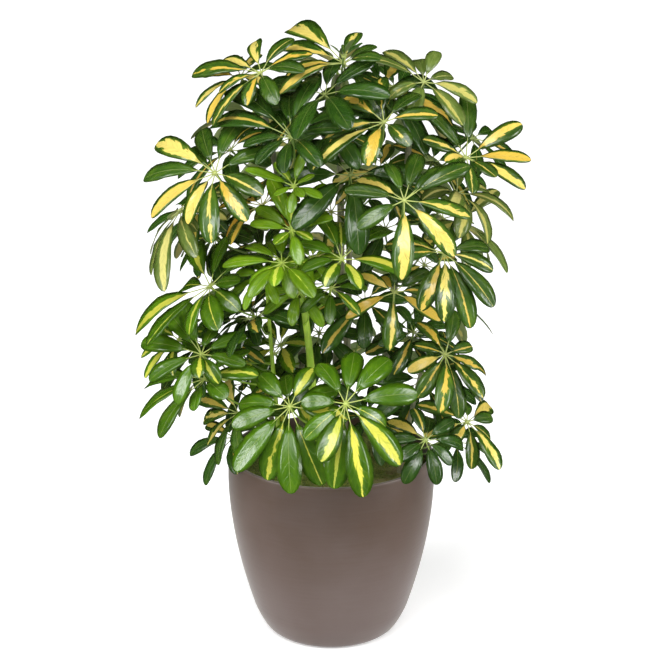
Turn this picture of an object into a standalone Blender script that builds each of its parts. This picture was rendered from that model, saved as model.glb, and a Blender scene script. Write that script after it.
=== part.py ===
"""Potted umbrella plant: variegated dwarf schefflera in a round planter.

The planter is a turned shell that holds soil, and a mat of moss covers the soil. Nine stems
stand in holes in the soil. Each stem carries its leaves, and each leaf is one body: a thin
leafstalk, a hub at its end, and leaflets spread round the hub like the ribs of an umbrella.

Metres, +Z up, -Y is the front. The origin is the middle of the planter's base.
"""

import random
from dataclasses import dataclass
from itertools import product
from math import atan2, cos, degrees, hypot, pi, radians, sin, tan

import bmesh
import bpy
from mathutils import Vector
from mathutils.bvhtree import BVHTree

OBJECT_NAME = "umbrella_plant"
GAP = 0.0004

# Planter
POT_HEIGHT = 0.320
POT_RIM_RADIUS = 0.173
POT_BELLY_RADIUS = 0.176
POT_BELLY_HEIGHT = 0.275
POT_TAPER = 0.0575
POT_TAPER_POWER = 1.8
POT_BASE_RADIUS = 0.103
POT_EDGE_HEIGHT = 0.045
POT_EDGE = ((0.73, 0.56), (0.42, 0.18))
POT_WALL = 0.006
POT_FLOOR = 0.008
POT_RIM_EDGE = 0.0015
POT_INSIDE_HEIGHTS = (0.05, 0.12, 0.20, 0.275)
POT_OUTSIDE_HEIGHTS = (0.275, 0.235, 0.19, 0.145, 0.10, 0.07)
POT_STEPS = 32

# Soil and moss
SOIL_TOP = 0.290
SOIL_BOTTOM = POT_FLOOR + GAP
SOIL_EDGE = 0.002
HOLE_DEPTH = 0.090
HOLE_SLACK = 0.001
HOLE_SIDES = 8
CUT_PAST = 0.010
MOSS_RADIUS = 0.160
MOSS_THICKNESS = 0.012
MOSS_SHOULDER = 0.004
MOSS_EDGE = 0.002
MOSS_BUMP = 0.003
MOSS_WAVES = ((61, 2), (53, -1))
MOSS_RINGS = 2
MOSS_STEPS = 20

# Stems
STEM_SIDES_RESOLUTION = 1
STEM_POINTS = 7
STEM_TIP_SHARE = 0.55
STEM_TIP_CLEAR = 0.012
STEM_RISE_FROM = SOIL_TOP + MOSS_THICKNESS

# Leaves
PETIOLE_RADIUS = 0.0015
PETIOLE_FOOT_RADIUS = 0.0026
PETIOLE_FOOT_LENGTH = 0.007
PETIOLE_FOOT_GAP = 0.0013
PETIOLE_SHARES = (0.38, 0.70, 1.0)
PETIOLE_TRIES = (0.0, 0.015, -0.015, 0.03, -0.03, 0.05, -0.05, 0.07)
PETIOLE_LEAST_DROP = 0.02
PETIOLE_SLOPE = 0.45
HUB_RADIUS = 0.0042
HUB_HEIGHT = 0.0022
STALK_RADIUS = 0.0011
BLADE_THICKNESS = 0.0018
BLADE_STATIONS = ((0.34, 0.80), (0.76, 0.94))
NEAR_SHORTER = 0.40
CLOSEST = 11
EYE_PITCH = 17
MOST_FORESHORTENED = 1.5
MARGIN = 0.0014
ENVELOPE_HEIGHTS = (0.08, 0.18, 0.275)
ENVELOPE_STEPS = 24


@dataclass(frozen=True)
class Habit:
    """How a leaf holds its leaflets: angles in degrees, sizes as shares of the blade's length."""

    lift: float
    bend: float
    stalk: float
    width: float
    fold: float


SPREAD = Habit(lift=14, bend=44, stalk=0.24, width=0.32, fold=11)
FLAT = Habit(lift=8, bend=38, stalk=0.27, width=0.36, fold=9)
HANGING = Habit(lift=-4, bend=38, stalk=0.22, width=0.28, fold=12)
ARCHED = Habit(lift=24, bend=72, stalk=0.20, width=0.31, fold=11)
RISING = Habit(lift=26, bend=30, stalk=0.26, width=0.31, fold=12)
YOUNG = Habit(lift=18, bend=22, stalk=0.20, width=0.32, fold=14)
SHOOT = Habit(lift=62, bend=14, stalk=0.16, width=0.26, fold=18)


@dataclass(frozen=True)
class Leaf:
    """One umbrella leaf: its hub, the way it faces, its leaflets, and how it holds them.

    Facing is the compass direction that the leaf tips towards (0 is +X, 90 is +Y), and tilt is
    how far it tips from lying level. Rays, where given, are its leaflets' directions as seen
    from in front (0 is down, 90 is right) with their lengths as shares of the blade's length.
    A leaf without rays has evenly spread leaflets.
    """

    hub: tuple
    facing: float
    tilt: float
    count: int
    blade: float
    habit: Habit
    tint: str
    turn: float = 0.0
    rays: tuple = ()


@dataclass(frozen=True)
class Stem:
    """One stem, from its foot in the soil to its tip, with its leaves from the bottom up."""

    name: str
    foot: tuple
    tip: tuple
    bow: tuple
    radius: float
    bark: str
    leaves: tuple

    def at(self, z):
        """The middle of the stem at a height, upright in the soil and bowed above it."""
        rise = min(max((z - STEM_RISE_FROM) / (self.tip[2] - STEM_RISE_FROM), 0.0), 1.0)
        lean = rise * rise * (1.6 - 0.6 * rise)
        aside = sin(pi * rise)
        return Vector((
            self.foot[0] + (self.tip[0] - self.foot[0]) * lean + self.bow[0] * aside,
            self.foot[1] + (self.tip[1] - self.foot[1]) * lean + self.bow[1] * aside,
            z,
        ))

    def radius_at(self, z):
        """The stem's radius at a height: it thins from the soil up to its tip."""
        rise = min(max((z - STEM_RISE_FROM) / (self.tip[2] - STEM_RISE_FROM), 0.0), 1.0)
        return self.radius * (1.0 - (1.0 - STEM_TIP_SHARE) * rise)

    def heights(self):
        """The heights of the points that the stem is drawn through."""
        low = SOIL_TOP - HOLE_DEPTH + GAP
        rise = self.tip[2] - STEM_RISE_FROM
        above = [STEM_RISE_FROM + rise * i / (STEM_POINTS - 2) for i in range(STEM_POINTS - 1)]
        return [low] + above


STEMS = (
    Stem("tall", (0.000, 0.030), (0.010, 0.000, 0.955), (0.012, 0.010), 0.0085, "bark", (
        Leaf((0.03, -0.11, 0.82), -85, 46, 8, 0.122, SPREAD, "dark"),
        Leaf((0.00, -0.09, 0.885), -95, 38, 0, 0.105, SPREAD, "dark", rays=(
            (330, 0.55), (2, 0.50), (32, 0.60), (65, 0.70), (96, 0.65), (132, 0.55), (182, 0.50),
            (232, 0.60), (285, 0.60))),
        Leaf((0.08, -0.15, 0.91), -115, 36, 0, 0.110, SPREAD, "gold", rays=(
            (281, 0.75), (307, 1.05), (337, 0.60), (43, 0.45), (185, 0.60), (230, 0.60), (100, 0.60))),
        Leaf((-0.01, -0.08, 0.94), -115, 40, 8, 0.118, SPREAD, "dark"),
        Leaf((0.01, 0.12, 0.95), 85, 34, 7, 0.110, SPREAD, "gold"),
        Leaf((0.02, -0.05, 0.985), -115, 34, 0, 0.105, SPREAD, "gold", rays=(
            (224, 1.16), (253, 0.92), (274, 0.85), (309, 0.95), (345, 0.60), (24, 0.65), (84, 0.50),
            (112, 0.45))),
        Leaf((0.019, -0.065, 0.997), -60, 12, 5, 0.038, SHOOT, "dark"),
    )),
    Stem("left", (-0.050, 0.010), (-0.110, 0.000, 0.915), (0.010, 0.010), 0.0080, "bark", (
        Leaf((-0.19, 0.02, 0.69), 200, 42, 0, 0.105, SPREAD, "dark", rays=(
            (282, 0.60), (337, 0.60), (9, 0.75), (60, 0.60), (110, 0.50), (200, 0.40))),
        Leaf((-0.19, 0.12, 0.71), 150, 44, 7, 0.110, SPREAD, "gold"),
        Leaf((-0.24, -0.07, 0.755), -165, 40, 0, 0.105, HANGING, "gold", rays=(
            (305, 0.70), (324, 0.85), (339, 0.90), (354, 0.65), (25, 0.30), (260, 0.35))),
        Leaf((-0.11, -0.06, 0.76), -160, 34, 0, 0.100, SPREAD, "gold", rays=(
            (284, 0.65), (329, 0.65), (15, 0.50), (60, 0.50), (180, 0.50), (235, 0.60))),
        Leaf((-0.18, -0.12, 0.825), -120, 40, 0, 0.110, SPREAD, "gold", rays=(
            (268, 0.95), (249, 0.90), (222, 0.70), (192, 0.62), (158, 0.82), (114, 0.70), (66, 0.66),
            (38, 0.60), (2, 0.75), (300, 0.98))),
        Leaf((-0.06, -0.14, 0.885), -125, 32, 0, 0.112, SPREAD, "dark", rays=(
            (252, 1.10), (232, 1.00), (207, 0.80), (184, 0.75), (156, 0.70), (124, 0.95), (95, 0.60),
            (308, 0.50), (350, 0.45), (30, 0.50))),
        Leaf((-0.13, 0.10, 0.88), 130, 36, 7, 0.105, SPREAD, "gold"),
        Leaf((-0.11, -0.05, 0.97), -130, 36, 0, 0.100, SPREAD, "gold", rays=(
            (267, 0.92), (244, 0.72), (194, 0.50), (137, 0.65), (289, 0.60), (305, 0.90))),
    )),
    Stem("right", (0.085, -0.010), (0.130, -0.010, 0.905), (0.004, 0.006), 0.0080, "bark", (
        Leaf((0.10, -0.11, 0.63), -95, 46, 6, 0.080, SPREAD, "gold"),
        Leaf((0.175, -0.15, 0.705), -80, 42, 0, 0.105, SPREAD, "gold", rays=(
            (278, 0.65), (143, 0.55), (72, 0.65), (46, 0.88), (21, 0.88), (357, 0.80), (334, 0.70),
            (210, 0.50))),
        Leaf((0.19, 0.10, 0.70), 40, 44, 7, 0.105, SPREAD, "gold"),
        Leaf((0.20, -0.05, 0.777), -35, 34, 0, 0.105, ARCHED, "gold", rays=(
            (42, 0.80), (66, 0.90), (92, 0.50), (12, 0.60), (335, 0.50), (180, 0.40))),
        Leaf((0.11, -0.20, 0.80), -85, 46, 0, 0.100, SPREAD, "gold", rays=(
            (74, 0.90), (44, 0.95), (357, 0.95), (299, 0.65), (258, 0.75), (202, 0.60), (170, 0.70),
            (136, 0.75), (111, 0.90))),
        Leaf((0.21, -0.10, 0.845), -66, 44, 0, 0.105, RISING, "gold", rays=(
            (178, 0.75), (112, 0.72), (80, 0.80), (63, 0.82), (38, 0.50), (5, 0.55), (258, 0.60),
            (238, 0.70))),
        Leaf((0.15, 0.11, 0.87), 55, 36, 7, 0.105, SPREAD, "gold"),
        Leaf((0.08, -0.05, 0.945), -60, 38, 8, 0.112, SPREAD, "dark"),
        Leaf((0.145, -0.05, 0.955), -75, 34, 0, 0.098, SPREAD, "gold", rays=(
            (247, 0.90), (190, 0.45), (155, 0.45), (109, 0.45), (72, 0.75), (36, 0.85), (340, 0.50))),
    )),
    Stem("young", (-0.030, -0.070), (-0.065, -0.100, 0.745), (0.006, -0.006), 0.0078, "shoot", (
        Leaf((0.016, -0.18, 0.703), -75, 30, 0, 0.100, SPREAD, "fresh", rays=(
            (77, 0.80), (123, 0.85), (150, 0.65), (176, 0.60), (209, 0.60), (249, 0.60), (283, 0.50),
            (330, 0.40), (30, 0.45))),
        Leaf((-0.076, -0.17, 0.694), -110, 28, 0, 0.088, SPREAD, "pale", rays=(
            (272, 0.85), (246, 0.70), (218, 0.70), (186, 0.45), (130, 0.50), (90, 0.45), (52, 0.80),
            (315, 0.70), (292, 0.60), (350, 0.45), (22, 0.45))),
        Leaf((-0.060, -0.165, 0.745), -95, 34, 0, 0.078, YOUNG, "pale", rays=(
            (207, 0.85), (156, 0.85), (126, 0.80), (233, 0.75), (268, 0.70), (181, 0.60), (320, 0.40),
            (60, 0.40))),
        Leaf((-0.057, -0.160, 0.813), -110, 30, 0, 0.066, YOUNG, "pale", rays=(
            (261, 1.00), (232, 0.55), (190, 0.40), (110, 0.45), (300, 0.45), (30, 0.40))),
    )),
    Stem("thin", (-0.085, -0.045), (-0.105, -0.080, 0.660), (-0.004, 0.000), 0.0046, "shoot", (
        Leaf((-0.203, -0.13, 0.492), -150, 40, 0, 0.112, FLAT, "fresh", rays=(
            (275, 0.82), (293, 0.90), (316, 0.90), (340, 0.38), (55, 0.35))),
        Leaf((-0.207, -0.13, 0.533), -112, 44, 0, 0.105, SPREAD, "fresh", rays=(
            (260, 0.85), (230, 0.78), (200, 0.62), (155, 0.40), (112, 0.62), (82, 0.60), (40, 0.42),
            (5, 0.42))),
        Leaf((-0.12, -0.10, 0.585), 180, 34, 0, 0.105, SPREAD, "dark", rays=(
            (282, 0.65), (298, 0.65), (240, 0.55), (20, 0.40), (180, 0.40))),
        Leaf((-0.193, -0.10, 0.637), -150, 42, 0, 0.120, FLAT, "fresh", rays=(
            (294, 1.02), (311, 0.92), (331, 0.58), (262, 0.50), (10, 0.50), (58, 0.35), (100, 0.35))),
    )),
    Stem("low_front", (0.000, -0.110), (-0.015, -0.125, 0.465), (0.004, 0.000), 0.0055, "shoot", (
        Leaf((-0.065, -0.195, 0.468), -105, 46, 0, 0.118, FLAT, "fresh", rays=(
            (262, 0.62), (232, 0.50), (151, 0.50), (288, 0.65), (312, 0.92), (334, 0.82), (357, 0.88),
            (20, 0.80), (77, 0.60), (195, 0.45))),
        Leaf((0.022, -0.215, 0.48), -82, 46, 0, 0.118, FLAT, "fresh", rays=(
            (211, 0.55), (179, 0.60), (140, 0.68), (97, 0.80), (47, 0.85), (21, 0.92), (337, 0.65),
            (263, 0.50), (305, 0.55), (356, 0.82), (72, 0.55))),
        Leaf((0.055, -0.06, 0.60), -90, 40, 0, 0.105, SPREAD, "dark", rays=(
            (278, 0.75), (235, 0.55), (318, 0.85), (0, 0.60), (40, 0.60), (90, 0.55), (180, 0.50))),
    )),
    Stem("low_right", (0.115, -0.060), (0.150, -0.070, 0.500), (0.004, 0.000), 0.0055, "bark", (
        Leaf((0.222, -0.10, 0.407), -50, 46, 0, 0.095, FLAT, "gold", rays=(
            (318, 0.32), (58, 0.45), (9, 0.62), (26, 0.80), (98, 0.35), (180, 0.35))),
        Leaf((0.150, -0.17, 0.402), -75, 46, 0, 0.095, SPREAD, "dark", rays=(
            (48, 0.52), (18, 0.62), (341, 0.66), (308, 0.55), (124, 0.50), (200, 0.50), (265, 0.55))),
        Leaf((0.15, -0.04, 0.46), -60, 42, 7, 0.100, SPREAD, "dark"),
        Leaf((0.184, -0.10, 0.523), -66, 48, 0, 0.098, SPREAD, "gold", rays=(
            (170, 0.62), (251, 0.45), (328, 0.68), (352, 0.80), (14, 0.92), (35, 0.82), (69, 0.50),
            (110, 0.45))),
    )),
    Stem("low_left", (-0.095, 0.040), (-0.125, 0.020, 0.490), (-0.004, 0.000), 0.0055, "bark", (
        Leaf((-0.152, -0.10, 0.422), -145, 46, 0, 0.100, SPREAD, "gold", rays=(
            (282, 0.55), (307, 0.62), (331, 0.74), (256, 0.52), (200, 0.50), (150, 0.45), (5, 0.60))),
        Leaf((-0.20, 0.05, 0.45), 165, 48, 7, 0.095, SPREAD, "dark"),
    )),
    Stem("back", (0.020, 0.095), (0.030, 0.125, 0.760), (0.006, 0.006), 0.0078, "bark", (
        Leaf((-0.10, 0.19, 0.43), 115, 48, 7, 0.105, SPREAD, "dark"),
        Leaf((0.09, 0.21, 0.44), 70, 48, 7, 0.105, SPREAD, "dark"),
        Leaf((0.17, 0.16, 0.55), 40, 44, 7, 0.120, SPREAD, "gold"),
        Leaf((-0.14, 0.17, 0.57), 125, 44, 7, 0.120, SPREAD, "dark"),
        Leaf((0.01, 0.23, 0.61), 90, 46, 8, 0.115, SPREAD, "gold"),
        Leaf((0.10, 0.20, 0.77), 65, 42, 7, 0.120, SPREAD, "dark"),
        Leaf((-0.05, 0.20, 0.80), 100, 42, 7, 0.120, SPREAD, "gold"),
    )),
)

# Base colour, roughness
FINISHES = {
    "pot": ((0.165, 0.110, 0.090), 0.45),
    "soil": ((0.035, 0.022, 0.014), 0.95),
    "moss": ((0.170, 0.190, 0.035), 0.95),
    "bark": ((0.160, 0.170, 0.095), 0.75),
    "shoot": ((0.230, 0.400, 0.030), 0.45),
    "gold": ((0.140, 0.230, 0.030), 0.30),
    "dark": ((0.025, 0.090, 0.020), 0.25),
    "fresh": ((0.080, 0.240, 0.012), 0.28),
    "pale": ((0.230, 0.430, 0.035), 0.35),
}


# ---------------------------------------------------------------- layout of the leaves


def axes_of(leaf):
    """The leaf's axis, and two directions square to it and to each other."""
    facing, tilt = radians(leaf.facing), radians(leaf.tilt)
    axis = Vector((cos(facing) * sin(tilt), sin(facing) * sin(tilt), cos(tilt)))
    outward = Vector((cos(facing) * cos(tilt), sin(facing) * cos(tilt), -sin(tilt)))
    return axis, outward, axis.cross(outward)


def seen_ray(leaf, angle, share):
    """The azimuth and true share of a leaflet that points this way, this long, seen from in front."""
    _, outward, aside = axes_of(leaf)
    upright = Vector((0.0, sin(radians(EYE_PITCH)), cos(radians(EYE_PITCH))))
    right, up = sin(radians(angle)), -cos(radians(angle))
    across = outward.x * aside.dot(upright) - aside.x * outward.dot(upright)
    along = (right * aside.dot(upright) - aside.x * up) / across
    round_it = (outward.x * up - right * outward.dot(upright)) / across
    return degrees(atan2(round_it, along)), share * min(hypot(along, round_it), MOST_FORESHORTENED)


def wanted_leaflets(leaf):
    """(azimuth, share of the blade's length) of each leaflet: longest away from the stem."""
    if leaf.rays:
        return [seen_ray(leaf, angle, share) for angle, share in leaf.rays]
    found = []
    for k in range(leaf.count):
        azimuth = leaf.turn + 360 * k / leaf.count
        found.append((azimuth, 1 - NEAR_SHORTER * (1 - cos(radians(azimuth))) / 2))
    return found


class Leaflet:
    """One leaflet: a straight stalk, then a blade that bends back along one arc."""

    def __init__(self, leaf, azimuth, lift, bend, roll, blade):
        self.hub = Vector(leaf.hub)
        self.axis, outward, aside = axes_of(leaf)
        self.azimuth = azimuth
        self.radial = outward * cos(azimuth) + aside * sin(azimuth)
        self.side = self.axis.cross(self.radial)
        self.lift, self.bend, self.roll = lift, bend, roll
        self.blade = blade
        self.stalk = blade * leaf.habit.stalk
        self.half_width = (0.5 * blade + 0.5 * leaf.blade) * leaf.habit.width / 2
        self.fold = tan(radians(leaf.habit.fold))

    def frame(self, along):
        """The middle, side and upward directions at a distance along the leaflet's length."""
        inside = max(along - self.stalk, 0.0)
        curl = self.bend / self.blade
        angle = self.lift - curl * inside
        straight = min(along, self.stalk)
        run = straight * cos(self.lift) + (sin(self.lift) - sin(angle)) / curl
        rise = straight * sin(self.lift) + (cos(angle) - cos(self.lift)) / curl
        middle = self.hub + self.radial * run + self.axis * rise
        upward = self.axis * cos(angle) - self.radial * sin(angle)
        turned = self.roll * min(along / self.stalk, 1.0)
        side = self.side * cos(turned) + upward * sin(turned)
        return middle, side, upward * cos(turned) - self.side * sin(turned)

    def stations(self):
        """(distance along, half width) from the stalk's end to the last wide place."""
        ends = [(self.stalk, STALK_RADIUS)]
        return ends + [(self.stalk + share * self.blade, wide * self.half_width)
                       for share, wide in BLADE_STATIONS]

    def envelope(self, with_stalk=True):
        """A closed box round the leaflet, a little larger all over, to test what it would hit."""
        rings = []
        low = BLADE_THICKNESS + MARGIN
        stalk = [(HUB_RADIUS * 2, STALK_RADIUS)] if with_stalk else []
        for along, half in stalk + self.stations():
            middle, side, upward = self.frame(along)
            lifted = upward * (half * self.fold)
            reach = side * (half + MARGIN)
            rings.append([
                middle - reach + lifted + upward * MARGIN,
                middle + upward * MARGIN,
                middle + reach + lifted + upward * MARGIN,
                middle + reach + lifted - upward * low,
                middle - upward * low,
                middle - reach + lifted - upward * low,
            ])
        tip, side, upward = self.frame(self.stalk + self.blade + MARGIN)
        rings.append([tip + upward * MARGIN] * 3 + [tip - upward * low] * 3)
        return joined_rings(rings)


def joined_rings(rings):
    """The points and faces of a tube through rings of points, with its ends closed."""
    count = len(rings[0])
    points = [point for ring in rings for point in ring]
    faces = [list(range(count))[::-1]]
    for k in range(len(rings) - 1):
        for i in range(count):
            j = (i + 1) % count
            faces.append([k * count + i, k * count + j, (k + 1) * count + j, (k + 1) * count + i])
    faces.append(list(range(len(points) - count, len(points))))
    return points, faces


def tube_envelope(path, radii, sides=6):
    """A closed tube round a path, a little thicker than what it stands for."""
    rings = []
    for k, middle in enumerate(path):
        along = (path[min(k + 1, len(path) - 1)] - path[max(k - 1, 0)]).normalized()
        first = along.orthogonal().normalized()
        second = along.cross(first)
        reach = radii[k] + MARGIN
        rings.append([
            middle + (first * cos(2 * pi * i / sides) + second * sin(2 * pi * i / sides)) * reach
            for i in range(sides)
        ])
    return joined_rings(rings)


class Space:
    """What has been placed so far, to keep the next piece clear of it."""

    def __init__(self):
        self.taken = []

    @staticmethod
    def solid(envelope):
        """An envelope's search tree, with its box."""
        points, faces = envelope
        low = Vector([min(p[i] for p in points) for i in range(3)])
        high = Vector([max(p[i] for p in points) for i in range(3)])
        return BVHTree.FromPolygons(points, faces), low, high

    @staticmethod
    def meet(one, other):
        """Whether two solids meet: their boxes first, then their faces."""
        tree, low, high = one
        other_tree, other_low, other_high = other
        if any(low[i] > other_high[i] or high[i] < other_low[i] for i in range(3)):
            return False
        return bool(tree.overlap(other_tree))

    def is_free(self, solid, leave_out=()):
        """Whether nothing placed so far meets this solid, leaving out the named owners."""
        return not any(self.meet(solid, other) for owner, other in self.taken
                       if owner not in leave_out)

    def take(self, owner, solid):
        """Keep this solid as placed, under its owner's name."""
        self.taken.append((owner, solid))


def petiole_path(stem, leaf, drop, aside):
    """Points along a leafstalk, square to the stem at its foot and in line with the leaf's axis."""
    hub = Vector(leaf.hub)
    axis = axes_of(leaf)[0]
    foot_height = min(leaf.hub[2] - drop, stem.tip[2] - STEM_TIP_CLEAR)
    core = stem.at(foot_height)
    outward = Vector((hub.x - core.x, hub.y - core.y, 0.0)).normalized()
    start = core + outward * (stem.radius_at(foot_height) + PETIOLE_FOOT_GAP)
    reach = (hub - start).length
    first = start + outward * (0.35 * reach) + Vector((-outward.y, outward.x, 0.0)) * aside
    second = hub - axis * (0.40 * reach)
    path = [start, start + outward * PETIOLE_FOOT_LENGTH]
    for t in PETIOLE_SHARES:
        path.append(start * (1 - t) ** 3 + first * (3 * t * (1 - t) ** 2)
                    + second * (3 * t * t * (1 - t)) + hub * t ** 3)
    return path


def petiole_radii():
    """The leafstalk's radius at each of its points: thicker where it clasps the stem."""
    return [PETIOLE_FOOT_RADIUS] + [PETIOLE_RADIUS] * (len(PETIOLE_SHARES) + 1)


def place_petiole(space, stem, leaf, name):
    """A leafstalk, with the hub at its end, that keeps clear of the stems and of the others."""
    across = hypot(leaf.hub[0] - stem.at(leaf.hub[2])[0], leaf.hub[1] - stem.at(leaf.hub[2])[1])
    hub_top = Vector(leaf.hub) + axes_of(leaf)[0] * HUB_HEIGHT
    for lower, aside in product(PETIOLE_TRIES, PETIOLE_TRIES):
        path = petiole_path(stem, leaf, PETIOLE_LEAST_DROP + PETIOLE_SLOPE * across + lower, aside)
        radii = petiole_radii()[:-1] + [HUB_RADIUS, HUB_RADIUS]
        solid = space.solid(tube_envelope(path + [hub_top], radii, 5))
        if space.is_free(solid, (stem.name,)):
            break
    space.take(name, solid)
    return path


LIFT_NUDGES = (0, -10, 10, -20, 20, -32, 32)
BEND_NUDGES = (0, 18, -18, 36)
YAW_NUDGES = (0, 6, -6, 13, -13)
ROLL_NUDGES = (0, 18, -18)
SHORTER = (0.0, 0.12, 0.25, 0.38)


def effort(nudge):
    """How much a nudge changes a leaflet: by lift, bend, yaw and roll in degrees, and in length."""
    lift, bend, yaw, roll, shorter = nudge
    return abs(lift) + 0.6 * abs(bend) + 1.6 * abs(yaw) + 0.7 * abs(roll) + 90 * shorter


NUDGES = sorted(product(LIFT_NUDGES, BEND_NUDGES, YAW_NUDGES, ROLL_NUDGES, SHORTER), key=effort)


def place_leaflets(space, leaf, name):
    """The leaf's leaflets, each bent clear of what is there, or left out where none would clear."""
    draw = random.Random(name)
    placed, solids, blades = [], [], []
    for azimuth, share in wanted_leaflets(leaf):
        azimuth += draw.uniform(-3, 3)
        lift = leaf.habit.lift + draw.uniform(-5, 5)
        bend = leaf.habit.bend + draw.uniform(-8, 8)
        roll = draw.uniform(-10, 10)
        blade = leaf.blade * share * draw.uniform(0.94, 1.04)
        for up, more, yaw, rolled, shorter in NUDGES:
            turned_to = azimuth + yaw
            if any(abs((turned_to - degrees(other.azimuth) + 180) % 360 - 180) < CLOSEST for other in placed):
                continue
            leaflet = Leaflet(
                leaf, radians(turned_to), radians(lift + up), radians(max(bend + more, 4)),
                radians(roll + rolled), blade * (1 - shorter),
            )
            solid = space.solid(leaflet.envelope())
            alone = space.solid(leaflet.envelope(with_stalk=False))
            if space.is_free(solid, (name,)) and not any(space.meet(alone, other) for other in blades):
                placed.append(leaflet)
                solids.append(solid)
                blades.append(alone)
                break
    for solid in solids:
        space.take(name, solid)
    return placed


def pot_radius(z):
    """The planter's outer radius at a height, above its rounded lower edge."""
    if z > POT_BELLY_HEIGHT:
        share = (z - POT_BELLY_HEIGHT) / (POT_HEIGHT - POT_BELLY_HEIGHT)
        return POT_BELLY_RADIUS - (POT_BELLY_RADIUS - POT_RIM_RADIUS) * share * share
    share = (POT_BELLY_HEIGHT - z) / POT_BELLY_HEIGHT
    return POT_BELLY_RADIUS - POT_TAPER * share ** POT_TAPER_POWER


def pot_envelope():
    """The planter's outer wall and the moss in its mouth, as one closed tub."""
    rings = []
    outline = [(pot_radius(z), z) for z in ENVELOPE_HEIGHTS]
    outline += [(POT_RIM_RADIUS, POT_HEIGHT), (POT_RIM_RADIUS - POT_WALL, POT_HEIGHT)]
    outline += [(MOSS_RADIUS, STEM_RISE_FROM + MOSS_BUMP)]
    for radius, z in outline:
        turns = [2 * pi * i / ENVELOPE_STEPS for i in range(ENVELOPE_STEPS)]
        wide = radius + MARGIN
        rings.append([Vector((wide * cos(turn), wide * sin(turn), z + MARGIN)) for turn in turns])
    return joined_rings(rings)


def leaf_name(stem, index):
    """A leaf's name: its stem's, and its number from the bottom up."""
    return f"leaf_{stem.name}_{index + 1}"


def lay_out():
    """Every leaf's leafstalk path and leaflets: stems first, then stalks, then the front leaves."""
    space = Space()
    space.take("pot", space.solid(pot_envelope()))
    for stem in STEMS:
        heights = stem.heights()[1:]
        path = [stem.at(z) for z in heights]
        space.take(stem.name, space.solid(tube_envelope(path, [stem.radius_at(z) for z in heights])))
    leaves = [(leaf_name(stem, i), stem, leaf) for stem in STEMS for i, leaf in enumerate(stem.leaves)]
    leaves.sort(key=lambda entry: entry[2].hub[1])
    paths = {name: place_petiole(space, stem, leaf, name) for name, stem, leaf in leaves}
    return [(name, leaf, paths[name], place_leaflets(space, leaf, name))
            for name, _, leaf in leaves]


# ---------------------------------------------------------------- modelling


def clear_scene():
    """Remove every object, so that the script starts from nothing."""
    for obj in list(bpy.data.objects):
        bpy.data.objects.remove(obj, do_unlink=True)


def new_collection(name, hidden=False):
    """A collection in the scene; a hidden one holds what is only used to cut or join."""
    collection = bpy.data.collections.new(name)
    collection.hide_render = hidden
    bpy.context.scene.collection.children.link(collection)
    return collection


def make_materials():
    """One Principled material for each finish."""
    made = {}
    for name, (colour, roughness) in FINISHES.items():
        material = bpy.data.materials.new(name)
        material.use_nodes = True
        shader = material.node_tree.nodes["Principled BSDF"]
        shader.inputs["Base Color"].default_value = (*colour, 1.0)
        shader.inputs["Roughness"].default_value = roughness
        shader.inputs["Metallic"].default_value = 0.0
        material.diffuse_color = (*colour, 1.0)
        made[name] = material
    return made


def add_object(name, mesh, material, collection):
    """An object of a mesh, with its material, in a collection."""
    obj = bpy.data.objects.new(name, mesh)
    if material:
        mesh.materials.append(material)
    collection.objects.link(obj)
    return obj


def turned(name, profile, steps, material, collection):
    """A solid of revolution: a profile in the XZ plane with a Screw modifier."""
    mesh = bpy.data.meshes.new(name)
    mesh.from_pydata([(x, 0.0, z) for x, z in profile], [(i, i + 1) for i in range(len(profile) - 1)], [])
    obj = add_object(name, mesh, material, collection)
    screw = obj.modifiers.new("turn", "SCREW")
    screw.steps = screw.render_steps = steps
    screw.use_merge_vertices = True
    screw.merge_threshold = 0.0001
    screw.use_smooth_shade = True
    return obj


def make_planter(material, collection):
    """The planter's shell: inside floor and wall, rounded rim, belly, taper and rounded edge."""
    foot_radius = pot_radius(POT_EDGE_HEIGHT)
    inner = [(0.0, POT_FLOOR), (inner_radius(POT_FLOOR), POT_FLOOR)]
    inner += [(inner_radius(z), z) for z in POT_INSIDE_HEIGHTS]
    rim_in = POT_RIM_RADIUS - POT_WALL
    rim = [(rim_in, POT_HEIGHT - POT_RIM_EDGE), (rim_in + POT_RIM_EDGE, POT_HEIGHT),
           (POT_RIM_RADIUS - POT_RIM_EDGE, POT_HEIGHT), (POT_RIM_RADIUS, POT_HEIGHT - POT_RIM_EDGE)]
    outer = [(pot_radius(z), z) for z in POT_OUTSIDE_HEIGHTS]
    edge = [(foot_radius, POT_EDGE_HEIGHT)]
    edge += [(POT_BASE_RADIUS + out * (foot_radius - POT_BASE_RADIUS), up * POT_EDGE_HEIGHT)
             for out, up in POT_EDGE]
    edge += [(POT_BASE_RADIUS, 0.0), (0.0, 0.0)]
    return turned("planter", inner + rim + outer + edge, POT_STEPS, material, collection)


def inner_radius(z):
    """The planter's inner radius at a height: its wall's, less at the floor's rounded corner."""
    if z < POT_EDGE_HEIGHT:
        return POT_BASE_RADIUS + 0.5 * (pot_radius(POT_EDGE_HEIGHT) - POT_BASE_RADIUS) - POT_WALL
    return pot_radius(z) - POT_WALL


def make_soil(material, collection, cutters):
    """The soil that fills the planter, with a plain hole for each stem's foot."""
    profile = [(0.0, SOIL_TOP), (inner_radius(SOIL_TOP) - GAP - SOIL_EDGE, SOIL_TOP)]
    profile += [(inner_radius(z) - GAP, z) for z in reversed(POT_INSIDE_HEIGHTS)]
    profile += [(inner_radius(SOIL_BOTTOM) - GAP, SOIL_BOTTOM), (0.0, SOIL_BOTTOM)]
    soil = turned("soil", profile, POT_STEPS, material, collection)
    drill(soil, "soil", SOIL_TOP - HOLE_DEPTH, SOIL_TOP + CUT_PAST, cutters)
    return soil


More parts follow.
